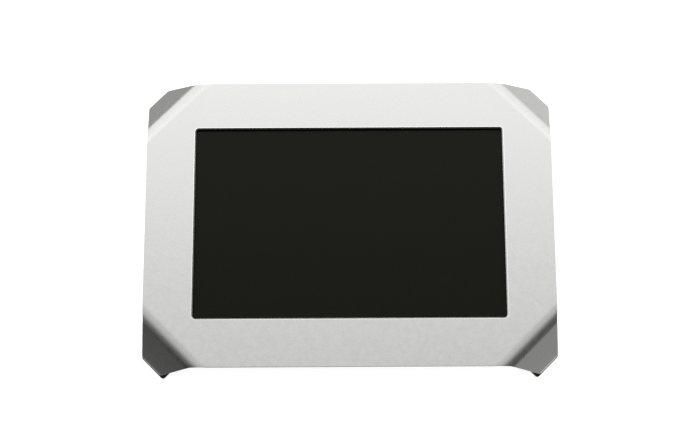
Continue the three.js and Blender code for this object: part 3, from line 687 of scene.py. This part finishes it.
def slab_layers(half_a, half_b, radius, near, far, edge, steps=8, shrink=False):
    """A slab with rounded corners and broken edges, in millimetres. The corners' radius can
    shrink with the outline."""
    layers = []
    for inset, along in ((edge, near), (0, near + edge), (0, far - edge), (edge, far)):
        corner = radius - inset if shrink else radius
        layers.append((rounded_rectangle(half_a - inset, half_b - inset, corner, steps), along))
    return layers


def in_mm(value):
    return value / MM


glass_size = (in_mm(glass_high.x), in_mm(glass_high.y), 1.5, in_mm(glass_low.z), in_mm(glass_high.z))
glass = shape(slab_layers(*glass_size, edge=0.2, shrink=True))
piece("touch_glass_sheet", glass, "panel", "screen_glass", ["touch_glass"], screen_glass)


# ---------------- gasket and display module
# A black closed-cell foam gasket, the display's pressed steel frame, its glass cell and
# milky diffuser, and the two zinc plated straps that hold it all against the plate.

def paint(material, *nodes):
    """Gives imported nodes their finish."""
    for name in nodes:
        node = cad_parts[name]
        for slot in node.material_slots:
            slot.material = material


paint(
    coating(
        "closed-cell foam", (0.012, 0.012, 0.013),
        roughness=0.9, grain=(3200, 500, 0.8, 0.1), pits=0.06, Specular_IOR_Level=0.2,
    ),
    "glass_gasket",
)
pressed_steel = metal(
    "pressed steel", (0.56, 0.57, 0.57),
    roughness=0.36, grain=(2000, 160, 0.14, 0.2), pits=0.006,
)
paint(pressed_steel, "display_frame")
paint(zinc_plate, "display_strap_left", "display_strap_right")
paint(
    coating("display cell", (0.03, 0.035, 0.045), roughness=0.18, grain=(1800, 200, 0.3, 0.05), pits=0.002),
    "display_cell",
)
paint(
    coating("milky diffuser", (0.80, 0.80, 0.77), roughness=0.45, grain=(1500, 150, 0.08, 0.1), pits=0.008),
    "backlight",
)


# ---------------- rear housing
# One tray of 1.2 mm steel, punched, folded and powder coated dark grey. Six ears turn out
# from its rim onto the plate's studs.

def carved(mesh, tool, operation="DIFFERENCE"):
    """A mesh with a tool cut from it, or joined to it."""
    body = linked(mesh)
    cutter = linked(tool)
    modifier = body.modifiers.new("carve", "BOOLEAN")
    modifier.operation = operation
    modifier.solver = "EXACT"
    modifier.object = cutter
    result = evaluated_mesh(body)
    bpy.data.objects.remove(body)
    bpy.data.objects.remove(cutter)
    return result


def row_tree():
    """A part repeated in a straight row."""
    inputs = [("Geometry", "Geometry"), ("Part", "Object"), ("Finish", "Material")]
    inputs += [("Count", "Int", 2), ("First", "Vector"), ("Step", "Vector")]
    outputs = [("Geometry", "Geometry")]
    group, start, end = node_group("row of copies", "GeometryNodeTree", inputs, outputs)
    given = start.outputs
    layout = {"Count": given["Count"], "Start_Location": given["First"], "Offset": given["Step"]}
    line = add_node(group, "GeometryNodeMeshLine", {"mode": "OFFSET"}, **layout)
    finish_tree(group, given, end, line.outputs["Mesh"])
    return group


row_of_copies = row_tree()


def row(part, finish, count, step, centre=(0, 0, 0)):
    """One mesh of a part repeated in a row about a centre, both in millimetres."""
    source = linked(part)
    step = Vector(step) * MM
    first = Vector(centre) * MM - step * ((count - 1) / 2)
    line = {"Count": count, "First": first, "Step": step}
    mesh = made_by(row_of_copies, bpy.data.meshes.new("row"), Part=source, Finish=finish, **line)
    bpy.data.objects.remove(source)
    return mesh


def add_mesh(bm, mesh):
    bm.from_mesh(mesh)
    bpy.data.meshes.remove(mesh)


def slug(bm, outline, depth, facing, centre):
    """A straight punch through a wall, in millimetres about a centre in metres."""
    stack(bm, [(outline, -depth), (outline, depth)], facing, centre)


def across_mouth(node, clearance, radius=0.4):
    """The outline of a node seen from the front, with a clearance round it."""
    low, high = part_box(node)
    half = (high - low) / MM / 2
    return rounded_rectangle(half.x + clearance, half.z + clearance, radius, steps=4)


housing_low, housing_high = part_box("rear_housing")
wall = 1.2
ear_length = 10.0
past_wall = ear_length + wall / 2
outer_x = in_mm(housing_high.x) - past_wall
outer_y = in_mm(housing_high.y) - past_wall
rear_face = in_mm(housing_low.z)
rim = in_mm(housing_high.z)
bend = 2.2
tray_corner = 3.0
ear_half_width = 7.0
wall_middle_y = (outer_y - wall / 2) * MM
wall_middle_x = (outer_x - wall / 2) * MM
punch_reach = 2.2
vent_pitch = 6.0


def tray_ring(inset, height):
    radius = max(tray_corner - inset, 0.8)
    return (rounded_rectangle(outer_x - inset, outer_y - inset, radius), height)


def tray_mesh():
    layers = []
    steps = 8
    for i in range(steps + 1):
        angle = math.pi / 2 * i / steps
        layers.append(tray_ring(bend * (1 - math.sin(angle)), rear_face + bend * (1 - math.cos(angle))))
    layers += [tray_ring(0, rim - 0.15), tray_ring(0.15, rim)]
    layers += [tray_ring(wall - 0.15, rim), tray_ring(wall, rim - 0.15)]
    inner = bend - wall
    for i in range(steps + 1):
        angle = math.pi / 2 * (1 - i / steps)
        drop = rear_face + wall + inner * (1 - math.cos(angle))
        layers.append(tray_ring(wall + inner * (1 - math.sin(angle)), drop))
    return shape(layers)


def ears_mesh():
    """The ears as slabs that run into the walls, with rounded outer corners."""
    bm = bmesh.new()
    for place in housing_nut_places:
        if abs(place.y) > abs(place.x) / 2:
            half = (ear_half_width, past_wall / 2)
            reach = (outer_y - wall / 2 + past_wall / 2) * MM
            centre = (place.x, math.copysign(reach, place.y), 0)
        else:
            half = (past_wall / 2, ear_half_width)
            reach = (outer_x - wall / 2 + past_wall / 2) * MM
            centre = (math.copysign(reach, place.x), place.y, 0)
        stack(bm, slab_layers(*half, 1.6, rim - wall, rim, 0.15), "up", centre)
    return mesh_of(bm)


def wall_punches():
    """Every hole in the housing as one set of punches."""
    bm = bmesh.new()
    for place in housing_nut_places:
        slug(bm, circle(1.8), 3.0, "up", (place.x, place.y, housing_high.z))
    for node in numbered("mount_insert"):
        place = middle(node)
        slug(bm, circle(3.1), 2.0, "up", (place.x, place.y, housing_low.z))
    vent_height = (rear_face + rim) / 2 * MM
    vent = rounded_rectangle(1.2, 6.0, 1.19, steps=6)
    vent_layers = [(vent, -punch_reach), (vent, punch_reach)]
    upper = shape(vent_layers, "front", (0, wall_middle_y, vent_height))
    add_mesh(bm, row(upper, None, 22, (vent_pitch, 0, 0)))
    left = shape(vent_layers, "right", (-wall_middle_x, 0, vent_height))
    add_mesh(bm, row(left, None, 12, (0, vent_pitch, 0)))
    lower_wall = [(node, across_mouth(node, 0.4)) for node in ("power_header", *jack_nodes, *usb_nodes)]
    lower_wall.append(("earth_screw", circle(2.3)))
    for node, outline in lower_wall:
        place = middle(node)
        slug(bm, outline, punch_reach, "front", (place.x, -wall_middle_y, place.z))
    for across, outline in ((-lock_reach, circle(1.7)), (0, d_outline(0.4)), (lock_reach, circle(1.7))):
        centre = (middle("serial_port").x + across * MM, -wall_middle_y, serial_height)
        slug(bm, outline, punch_reach, "front", centre)
    card_hole = rounded_rectangle(12.4, 1.45, 0.5, steps=4)
    for node, outline in (("memory_card", card_hole), ("power_button", circle(3.9, 32))):
        place = middle(node)
        slug(bm, outline, punch_reach, "right", (wall_middle_x, place.y, place.z))
    return mesh_of(bm)


def d_outline(grow):
    """The nine-way socket's outline, wider at its top, in millimetres."""
    top, foot, half = 8.5 + grow, 7.1 + grow, 4.2 + grow
    corners = ((-foot, -half), (foot, -half), (top, half), (-top, half))
    return rounded_outline(corners, 2.2 + grow)


powder_coat = coating(
    "dark grey powder coat", (0.030, 0.032, 0.035),
    roughness=0.52, grain=(2600, 900, 0.25, 0.12), pits=0.05,
    rubbed=(0.10, 0.10, 0.10), Specular_IOR_Level=0.45,
)
jack_nodes = numbered("ethernet_jack", 2)
usb_nodes = numbered("usb_port", 2)
lock_reach = 12.495
serial_half_height = 5.7
serial_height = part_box("serial_port")[1].z - serial_half_height * MM
tray = carved(tray_mesh(), ears_mesh(), "UNION")
tray = carved(tray, wall_punches())
piece("housing_tray", tray, "panel", "housing_coat", ["rear_housing"], powder_coat, smooth_below=30)


# ---------------- mounting inserts
# Four stainless threaded inserts, pressed into the rear face from inside.

def insert_layers():
    outside = turned([(2.8, 0.0), (2.8, 1.5), (4.0, 1.5), (4.0, 4.6), (3.6, 5.0), (2.5, 5.0)])
    return outside + thread(2.1, -0.2, 4.2, pitch=0.7, along=0.4)[::-1] + turned([(2.5, 0.0)])


nodes = numbered("mount_insert")
insert_places = [(*middle(node).xy, housing_low.z) for node in nodes]
inserts = copies(shape(insert_layers(), closed=True), stainless, insert_places)
piece("mount_inserts", inserts, "panel", "stainless", nodes)


# ---------------- power header
# A green plug-in terminal header, moulded round three tinned pins, with a rib between each
# pair of pins.

def mouth_layers(width, height, depth, wall, radius, cavity):
    """A box open at its mouth, from its back to its mouth and in to the cavity's floor. The
    mouth is at zero and the back at minus the depth."""
    layers = []
    outside = [(0.3, -depth), (0.0, 0.3 - depth), (0.0, -0.2), (0.2, 0.0)]
    for inset, along in outside + [(wall - 0.15, 0.0), (wall, -0.15), (wall, -cavity)]:
        corner = max(radius - inset, 0.15)
        outline = rounded_rectangle(width / 2 - inset, height / 2 - inset, corner, steps=4)
        layers.append((outline, along))
    return layers


def brick_layers(width, height, near, far, edge=0.12):
    """A small block with broken edges, from its near face to its far one."""
    return slab_layers(width / 2, height / 2, edge, near, far, edge, steps=2)


def mouth_centre(node):
    """The middle of a node's front face."""
    low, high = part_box(node)
    return Vector(((low.x + high.x) / 2, low.y, (low.z + high.z) / 2))


def about(origin, x=0.0, y=0.0, z=0.0):
    """A place in metres, at millimetres from an origin."""
    return Vector(origin) + Vector((x, y, z)) * MM


def header_body():
    at = mouth_centre("power_header")
    bm = bmesh.new()
    box = mouth_layers(width=17, height=8.5, depth=12, wall=1, radius=0.5, cavity=11)
    stack(bm, box, "front", at)
    for side in (-1, 1):
        rib = brick_layers(width=0.9, height=1.3, near=-10.9, far=-2.5)
        stack(bm, rib, "front", about(at, side * pin_pitch / 2, 0, 2.9))
    for side in (-1, 0, 1):
        latch = brick_layers(width=2.6, height=0.7, near=-5.0, far=-0.8, edge=0.2)
        stack(bm, latch, "front", about(at, side * pin_pitch, 0, -3.2))
    return mesh_of(bm)


green_plastic = coating(
    "green glass-filled plastic", (0.035, 0.22, 0.075),
    roughness=0.42, grain=(1800, 260, 0.25, 0.12), pits=0.01,
)
tinned = metal(
    "tinned copper", (0.74, 0.73, 0.70),
    roughness=0.28, grain=(2400, 500, 0.12, 0.18), pits=0.004,
)
pin_pitch = 5.08
piece("power_header_body", header_body(), "panel", "green_plastic", ["power_header"], green_plastic)
shank, tip = (rounded_rectangle(half, half, 0.08, steps=2) for half in (0.5, 0.22))
pin_layers = [(shank, -10.8), (shank, -4.6), (tip, -4.0)]
header_pin = shape(pin_layers, "front", mouth_centre("power_header"))
header_pins = row(header_pin, tinned, 3, (pin_pitch, 0, 0))
piece("power_header_pins", header_pins, "panel", "nickel_steel", ["power_header"])


# ---------------- serial port
# A nine-way socket. Its drawn nickel plated shell and flange hold a black moulding with
# nine contacts, and two hexagonal locks screw through the wall into the flange.

def lock_layers():
    """A hexagonal lock from its shank to its threaded hole."""
    head = hexagon(4.68)
    layers = turned([(1.2, -6.5), (1.4, -6.3), (1.4, -4.7)]) + [(head, -4.7), (head, -1.0)]
    return layers + turned([(2.25, -0.7), (1.45, -0.7)]) + thread(1.15, -0.15, 2.8, along=-3.6)[::-1]


def serial_metal():
    bm = bmesh.new()
    lip = [(0, -6.6), (0, -0.35), (0.1, -0.1), (0.25, 0.0), (0.42, -0.1), (0.5, -0.35), (0.5, -6.6)]
    stack(bm, [(d_outline(-inset), along) for inset, along in lip], "front", serial_mouth, closed=True)
    flange = slab_layers(15.4, serial_half_height, radius=1.4, near=-7.5, far=-6.5, edge=0.15)
    stack(bm, flange, "front", serial_mouth)
    for side in (-1, 1):
        stack(bm, lock_layers(), "front", about(serial_mouth, side * lock_reach))
    return mesh_of(bm)


def serial_contacts(part, finish):
    """A part repeated in the socket's two rows."""
    bm = bmesh.new()
    for count, height in ((5, 1.42), (4, -1.42)):
        add_mesh(bm, row(part, finish, count, (2.77, 0, 0), (0, 0, height)))
    return mesh_of(bm)


def serial_moulding():
    core = d_outline(-0.53)
    face = shape([(core, -7.0), (core, -1.4)], "front", serial_mouth)
    hole = shape(turned([(0.62, -4.5), (0.62, 0)], sides=16), "front", serial_mouth)
    bm = bmesh.new()
    add_mesh(bm, carved(face, serial_contacts(hole, None)))
    back = brick_layers(width=19.2, height=10.6, near=-17.5, far=-7.55, edge=0.3)
    stack(bm, back, "front", about(serial_mouth, z=0.4))
    return mesh_of(bm)


serial_low, serial_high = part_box("serial_port")
serial_mouth = Vector(((serial_low.x + serial_high.x) / 2, serial_low.y, serial_height))
nickel = metal("nickel plate", (0.66, 0.64, 0.60), roughness=0.24, grain=(2400, 260, 0.1, 0.16), pits=0.004)
black_plastic = coating(
    "black moulded plastic", (0.016, 0.016, 0.017),
    roughness=0.42, grain=(2200, 380, 0.35, 0.12), pits=0.01,
)
gold_flash = metal(
    "gold flash", (0.86, 0.60, 0.24),
    roughness=0.22, grain=(2600, 600, 0.1, 0.12), pits=0.003,
)
piece("serial_shell", serial_metal(), "panel", "nickel_steel", ["serial_port"], nickel)
moulding = serial_moulding()
piece("serial_moulding", moulding, "panel", "black_plastic", ["serial_port"], black_plastic)
tube_layers = turned([(0.55, -4.4), (0.55, -1.7), (0.36, -1.55), (0.36, -4.4)], sides=16)
tube = shape(tube_layers, "front", serial_mouth, closed=True)
tubes = serial_contacts(tube, gold_flash)
piece("serial_contacts", tubes, "panel", "nickel_steel", ["serial_port"], gold_flash)


# ---------------- Ethernet jacks
# Two shielded modular jacks. Each is a folded nickel can round a black moulding with eight
# sprung gold contacts and two light windows beside the latch.

def jack_outline(inset):
    """The mouth, with the latch's key above it, in millimetres about the jack's middle."""
    a, k = 5.9 - inset, 3.1 - inset
    low, step, top = -4.3 + inset, 2.5 - inset, 4.1 - inset
    return [(-a, low), (a, low), (a, step), (k, step), (k, top), (-k, top), (-k, step), (-a, step)]


def jack_can():
    punch = shape([(jack_outline(0), -12), (jack_outline(0), 1)], "front")
    width = 16
    block = shape(brick_layers(width, height=11.8, near=-21, far=0, edge=0.35), "front")
    bm = bmesh.new()
    add_mesh(bm, carved(block, punch))
    for side in (-1, 1):
        spring = brick_layers(width=0.5, height=3.6, near=-7.0, far=-2.2)
        stack(bm, spring, "front", about((0, 0, 0), side * width / 2, 0, 0.5))
    return mesh_of(bm)


def jack_liner():
    rings = ((0.02, -12), (0.02, -0.5), (0.2, -0.3), (0.55, -0.3), (0.75, -0.6), (0.75, -11.3))
    return shape([(jack_outline(inset), along) for inset, along in rings], "front")


def wire(path, width, thickness):
    """A flat spring wire along a path of distances from the mouth and heights."""
    bm = bmesh.new()
    rings = []
    for along, height in path:
        section = [(a * width / 2, b * thickness / 2) for a, b in corner_signs]
        rings.append([Vector((a, -along, height + b)) * MM for a, b in section])
    skin(bm, rings)
    return mesh_of(bm)


def light_window():
    wide, narrow = rounded_rectangle(1.1, 0.55, 0.2, 3), rounded_rectangle(0.95, 0.42, 0.18, 3)
    return shape([(wide, -0.6), (wide, 0.05), (narrow, 0.14)], "front")


jack_mouths = [mouth_centre(node) for node in jack_nodes]
cans = copies(jack_can(), nickel, jack_mouths)
piece("ethernet_cans", cans, "panel", "nickel_steel", jack_nodes)
liners = copies(jack_liner(), black_plastic, jack_mouths)
piece("ethernet_mouldings", liners, "panel", "black_plastic", jack_nodes)
spring_path = ((-11.2, -1.3), (-10.0, -0.4), (-3.0, -3.0), (-2.2, -3.5))
spring_wire = wire(spring_path, width=0.42, thickness=0.3)
contacts = row(spring_wire, gold_flash, 8, (1.02, 0, 0))
contacts = copies(contacts, gold_flash, jack_mouths)
piece("ethernet_contacts", contacts, "panel", "nickel_steel", jack_nodes)
for name, side, colour in (
    ("link_light_windows", -1, (0.16, 0.42, 0.14)),
    ("traffic_light_windows", 1, (0.62, 0.36, 0.06)),
):
    tinted = coating(
        "tinted plastic " + name, colour,
        roughness=0.22, grain=(1600, 700, 0.2, 0.08), pits=0.004,
    )
    lights = [about(mouth, x=side * 4.5, z=3.3) for mouth in jack_mouths]
    windows = copies(light_window(), tinted, lights)
    piece(name, windows, "panel", "black_plastic", jack_nodes)


# ---------------- USB ports
# Two type A sockets. Each has a drawn nickel shell with sprung tongues, and a black blade
# with four gold contacts under it.

def usb_shell():
    bm = bmesh.new()
    box = mouth_layers(width=13.2, height=5.8, depth=14, wall=0.5, radius=0.9, cavity=12.6)
    stack(bm, box, "front")
    for side, level in corner_signs:
        spring = brick_layers(width=1.7, height=0.5, near=-7.5, far=-2.0, edge=0.15)
        stack(bm, spring, "front", about((0, 0, 0), side * 3.4, 0, level * 2.25))
    return mesh_of(bm)


usb_mouths = [mouth_centre(node) for node in usb_nodes]
shells = copies(usb_shell(), nickel, usb_mouths)
piece("usb_shells", shells, "panel", "nickel_steel", usb_nodes)
blade = shape(brick_layers(width=10.6, height=1.8, near=-12.55, far=-1.0, edge=0.2), "front")
blades = copies(blade, black_plastic, usb_mouths)
piece("usb_blades", blades, "panel", "black_plastic", usb_nodes)
pad_layers = brick_layers(width=1.1, height=0.14, near=-9.5, far=-1.6, edge=0.03)
pad = shape(pad_layers, "front", (0, 0, -0.92 * MM))
pads = row(pad, gold_flash, 4, (2.3, 0, 0))
pads = copies(pads, gold_flash, usb_mouths)
piece("usb_contacts", pads, "panel", "nickel_steel", usb_nodes)


# ---------------- earth screw
# A slotted brass cheese head screw with a toothed zinc plated washer, in the lower wall.

earth_mouth = mouth_centre("earth_screw")
earth_layers = turned([(1.7, -11.4), (2.0, -11.1)])
earth_layers += thread(2.0, 0.2, 8.0, pitch=0.7, along=-11.0)
cheese_head = [(3.4, -2.4), (3.6, -2.2), (3.6, -0.35), (3.5, -0.12), (3.25, 0.0)]
earth_layers += turned([(2.0, -2.4), *cheese_head])
slot_layers = brick_layers(width=9.0, height=0.95, near=-1.1, far=1.0, edge=0.05)
slot_tool = shape(slot_layers, "front", earth_mouth)
brass = metal("brass", (0.70, 0.50, 0.20), roughness=0.27, grain=(2200, 300, 0.14, 0.18), pits=0.005)
earth_body = carved(shape(earth_layers, "front", earth_mouth), slot_tool)
piece("earth_screw_body", earth_body, "panel", "brass", ["earth_screw"], brass)
tips, gaps, bore = (circle(radius, 48) for radius in (4.35, 3.8, 2.25))
teeth = [tips[i] if i % 4 < 2 else gaps[i] for i in range(48)]
washer_layers = [(teeth, -2.66), (teeth, -2.44), (bore, -2.44), (bore, -2.66)]
washer = shape(washer_layers, "front", earth_mouth, closed=True)
piece("earth_washer", washer, "panel", "zinc_steel", ["earth_screw"], zinc_plate)


# ---------------- memory card
# A black plastic card with rounded corners, a finger lip on its outer end, nine gold pads
# at its inner end and a blank pale label. It slides in a nickel cage under the board.

card_low, card_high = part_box("memory_card")
card_centre = (card_low + card_high) / 2
card_half = (card_high - card_low) / MM / 2
card_bm = bmesh.new()
card_layers = slab_layers(card_half.x, card_half.y, 1.2, -card_half.z, card_half.z, 0.18, shrink=True)
stack(card_bm, card_layers, "up", card_centre)
for facing in ("up", "down"):
    lip = brick_layers(width=0.7, height=15.0, near=card_half.z - 0.3, far=card_half.z + 0.24)
    stack(card_bm, lip, facing, about(card_centre, card_half.x - 0.75))
card_plastic = coating(
    "card plastic", (0.018, 0.020, 0.026),
    roughness=0.38, grain=(2200, 420, 0.3, 0.1), pits=0.008,
)
card = mesh_of(card_bm)
piece("memory_card_body", card, "memory_card", "card_plastic", ["memory_card"], card_plastic)
label_layers = slab_layers(7.5, 9.2, 0.8, card_half.z - 0.05, card_half.z + 0.06, 0.02, shrink=True)
label = shape(label_layers, "down", about(card_centre, 4.0))
label_paper = coating(
    "blank label", (0.62, 0.62, 0.60),
    roughness=0.6, grain=(2600, 400, 0.08, 0.1), pits=0.006,
)
piece("memory_card_label", label, "memory_card", "card_plastic", ["memory_card"], label_paper)
pad_layers = brick_layers(width=3.6, height=1.5, near=-0.05, far=0.06, edge=0.02)
card_pad = shape(pad_layers, "up", about(card_centre, z=card_half.z))
card_pads = row(card_pad, gold_flash, 9, (0, 2.3, 0), (3.0 - card_half.x, 0, 0))
piece("memory_card_pads", card_pads, "memory_card", "card_plastic", ["memory_card"])
paint(nickel, "card_slot")


# ---------------- power button
# A turned aluminium cap with a dished face and a polished bevel, on a collar that keeps it
# behind the wall and a stem that reaches the switch.

knob_low, knob_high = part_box("power_button")
knob_axis = Vector((0, (knob_low.y + knob_high.y) / 2, (knob_low.z + knob_high.z) / 2))
face = in_mm(knob_high.x)
stem = ((1.3, -8.8), (1.6, -8.5), (1.6, -4.3))
collar = ((4.6, -4.3), (4.8, -4.1), (4.8, -3.5), (4.6, -3.3))
cap = ((3.5, -3.3), (3.5, -0.55), (3.42, -0.4), (3.0, 0.0))
dish = ((2.85, 0.0), (2.7, -0.08), (2.0, -0.22), (1.2, -0.31), (0.5, -0.35))
knob_profile = stem + collar + cap + dish
knob_layers = turned([(radius, face + along) for radius, along in knob_profile], sides=48)
turned_aluminium = metal(
    "turned aluminium", (0.78, 0.78, 0.77),
    roughness=0.24, grain=(2400, 500, 0.06, 0.1), pits=0.003,
)
tree = turned_aluminium.node_tree
knob_place = tree.nodes["Texture Coordinate"].outputs["Object"]
centred = add_node(tree, "ShaderNodeMapping", Location=-knob_axis, Vector=knob_place).outputs["Vector"]
wave = {"wave_type": "RINGS", "rings_direction": "X"}
rings = add_node(tree, "ShaderNodeTexWave", wave, Scale=900.0, Vector=centred).outputs["Fac"]
pitted = tree.nodes["Bump"].outputs["Normal"]
lathe_marks = {"Strength": 0.6, "Distance": 0.01 * MM, "Height": rings, "Normal": pitted}
turning = add_node(tree, "ShaderNodeBump", **lathe_marks)
feed(tree, tree.nodes["Principled BSDF"].inputs["Normal"], turning.outputs["Normal"])
knob = shape(knob_layers, "right", knob_axis)
piece("power_button_cap", knob, "power_button", "button_aluminium", ["power_button"], turned_aluminium)
paint(black_plastic, "button_switch")


# ---------------- main board and its parts
# The board, its brass spacers and steel screws, and the parts on its underside. They lie
# behind the housing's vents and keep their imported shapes.

def traced_board():
    """A solder mask over copper traces, which lighten it."""
    material = coating(
        "green circuit board", (0.012, 0.10, 0.035),
        roughness=0.36, grain=(2000, 300, 0.2, 0.1), pits=0.004,
    )
    tree = material.node_tree
    place = tree.nodes["Texture Coordinate"].outputs["Object"]
    layout = {"offset": 0.5, "offset_frequency": 3, "squash": 0.6, "squash_frequency": 2}
    lines = {"Scale": 90.0, "Mortar_Size": 0.035, "Mortar_Smooth": 0.2}
    traces = add_node(tree, "ShaderNodeTexBrick", layout, Vector=place, **lines).outputs["Fac"]
    colour = tree.nodes["Principled BSDF"].inputs["Base Color"]
    feed(tree, colour, mixed(tree, traces, colour.links[0].from_socket, (0.03, 0.20, 0.07)))
    return material


paint(traced_board(), "main_board")
paint(brass, *numbered("board_spacer"))
paint(stainless, "coin_cell", *numbered("board_screw"))
paint(black_plastic, "cell_holder", "buzzer")
paint(
    coating("chip epoxy", (0.022, 0.022, 0.024), roughness=0.55, grain=(3000, 600, 0.3, 0.1), pits=0.01),
    "processor",
    "inductor",
)
paint(
    metal("extruded aluminium", (0.62, 0.63, 0.64), roughness=0.36, grain=(2000, 220, 0.14, 0.2), pits=0.01),
    "heat_sink",
    "capacitor_1",
    "capacitor_2",
)
paint(
    coating("flat cable", (0.62, 0.60, 0.54), roughness=0.45, grain=(2200, 200, 0.12, 0.12), pits=0.006),
    "display_cable",
)


# ---------------- floor, light and camera
# A plain pale floor under the feet, soft light that is brightest overhead and behind, and a
# camera high over the lower edge.

def graded(tree, value, span, levels=(0.0, 1.0), curve="SMOOTHSTEP"):
    """A level that goes from the first to the second as a value crosses a span."""
    ends = {"From_Min": span[0], "From_Max": span[1], "To_Min": levels[0], "To_Max": levels[1]}
    curved = {"interpolation_type": curve}
    return add_node(tree, "ShaderNodeMapRange", curved, Value=value, **ends).outputs["Result"]


def blended(tree, share, first, second):
    """A mix of two levels."""
    node = add_node(tree, "ShaderNodeMix", {"data_type": "FLOAT"})
    for index, value in ((0, share), (2, first), (3, second)):
        feed(tree, node.inputs[index], value)
    return node.outputs[0]


def painted_reflection_glow(tree, place):
    """A painted glow in the paper, seen only in reflections on polished metal: a bright sheet
    near the panel, brighter to the right, that falls away to a dim room in front."""
    right, back = add_node(tree, "ShaderNodeSeparateXYZ", Vector=place).outputs[:2]
    past = []
    for side, half in ((right, 0.125), (back, 0.085)):
        outside = maths(tree, "SUBTRACT", maths(tree, "ABSOLUTE", side), half)
        past.append(maths(tree, "POWER", maths(tree, "MAXIMUM", outside, 0.0), 2.0))
    away = maths(tree, "SQRT", maths(tree, "ADD", *past))
    near = graded(tree, right, (-0.15, 0.15), (0.48, 0.91))
    dim = graded(tree, right, (-0.25, 0.25), (0.115, 0.45))
    room = blended(tree, graded(tree, back, (-0.1, 0.1)), dim, near)
    return blended(tree, graded(tree, away, (0.02, 0.065)), near, room)


def floor_material():
    """Pale matt paper, lifted to near white where it is looked at, so that only a faint
    shadow shows round the feet."""
    material = bpy.data.materials.new("pale floor")
    material.use_nodes = True
    tree = material.node_tree
    shader = tree.nodes["Principled BSDF"].inputs
    place = add_node(tree, "ShaderNodeTexCoord").outputs["Object"]
    fibre = add_node(tree, "ShaderNodeTexNoise", Vector=place, Scale=60.0, Detail=4.0).outputs["Fac"]
    ray = add_node(tree, "ShaderNodeLightPath").outputs
    speck = maths(tree, "ADD", maths(tree, "MULTIPLY", fibre, 0.02), 0.98)
    paper = mixed(tree, 1.0, (0.62, 0.62, 0.62), speck, "MULTIPLY")
    # Reflections see no paper colour here, only the painted reflection glow added below; the camera sees an
    # even lift.
    paper = mixed(tree, ray["Is Glossy Ray"], paper, (0.0, 0.0, 0.0))
    lift = maths(tree, "MULTIPLY", ray["Is Camera Ray"], 0.86)
    glow = maths(tree, "MULTIPLY", ray["Is Glossy Ray"], painted_reflection_glow(tree, place))
    feed(tree, shader["Base Color"], paper)
    feed(tree, shader["Roughness"], 0.9)
    feed(tree, shader["Specular IOR Level"], 0.0)
    feed(tree, shader["Emission Color"], (1.0, 1.0, 1.0))
    feed(tree, shader["Emission Strength"], maths(tree, "ADD", lift, glow))
    return material


floor_bm = bmesh.new()
floor_reach = 3.0
bmesh.ops.create_grid(floor_bm, x_segments=1, y_segments=1, size=floor_reach)
floor = linked(mesh_of(floor_bm))
floor.name = "floor"
floor.data.materials.append(floor_material())


def build_sky():
    """Soft light by direction. Overhead it grows from front to back. Level with the panel it
    is brightest behind and to the left, and dim in front."""
    world = bpy.data.worlds.new("studio")
    bpy.context.scene.world = world
    world.use_nodes = True
    tree = world.node_tree
    background = tree.nodes["Background"].inputs
    direction = add_node(tree, "ShaderNodeTexCoord").outputs["Generated"]
    right, back, up = add_node(tree, "ShaderNodeSeparateXYZ", Vector=direction).outputs
    overhead = graded(tree, back, (0.195, 0.285), (0.83, 1.74), "LINEAR")
    overhead = maths(tree, "ADD", overhead, graded(tree, back, (0.38, 0.65), (0.0, -0.24)))
    to_back = graded(tree, back, (-0.6, 0.6), curve="LINEAR")
    to_right = graded(tree, right, (-0.6, 0.6), curve="LINEAR")
    front = blended(tree, to_right, 0.0, 0.12)
    behind = blended(tree, to_right, 1.35, 0.25)
    level = blended(tree, to_back, front, behind)
    lean = maths(tree, "MULTIPLY", back, 0.70)
    high = graded(tree, maths(tree, "ADD", up, lean), (0.37, 0.77), curve="LINEAR")
    light = blended(tree, high, level, overhead)
    seen = add_node(tree, "ShaderNodeLightPath").outputs["Is Camera Ray"]
    feed(tree, background["Strength"], blended(tree, seen, light, 0.92))
    feed(tree, background["Color"], (1.0, 1.0, 1.0))


build_sky()

camera_data = bpy.data.cameras.new("camera")
camera_data.sensor_width = 36.0
camera_data.lens = 77.14
camera = bpy.data.objects.new("camera", camera_data)
bpy.context.scene.collection.objects.link(camera)
camera_tilt = math.radians(14.0)
camera_roll = math.radians(-0.27)
camera_offset = Vector((0.0004, -0.0003, 1.056))
camera_turn = Matrix.Rotation(camera_tilt, 4, "X") @ Matrix.Rotation(camera_roll, 4, "Z")
camera_place = Vector((0, 0, face_height)) + camera_turn @ camera_offset
camera.matrix_world = Matrix.Translation(camera_place) @ camera_turn
bpy.context.scene.camera = camera
bpy.context.scene.view_settings.view_transform = "Standard"
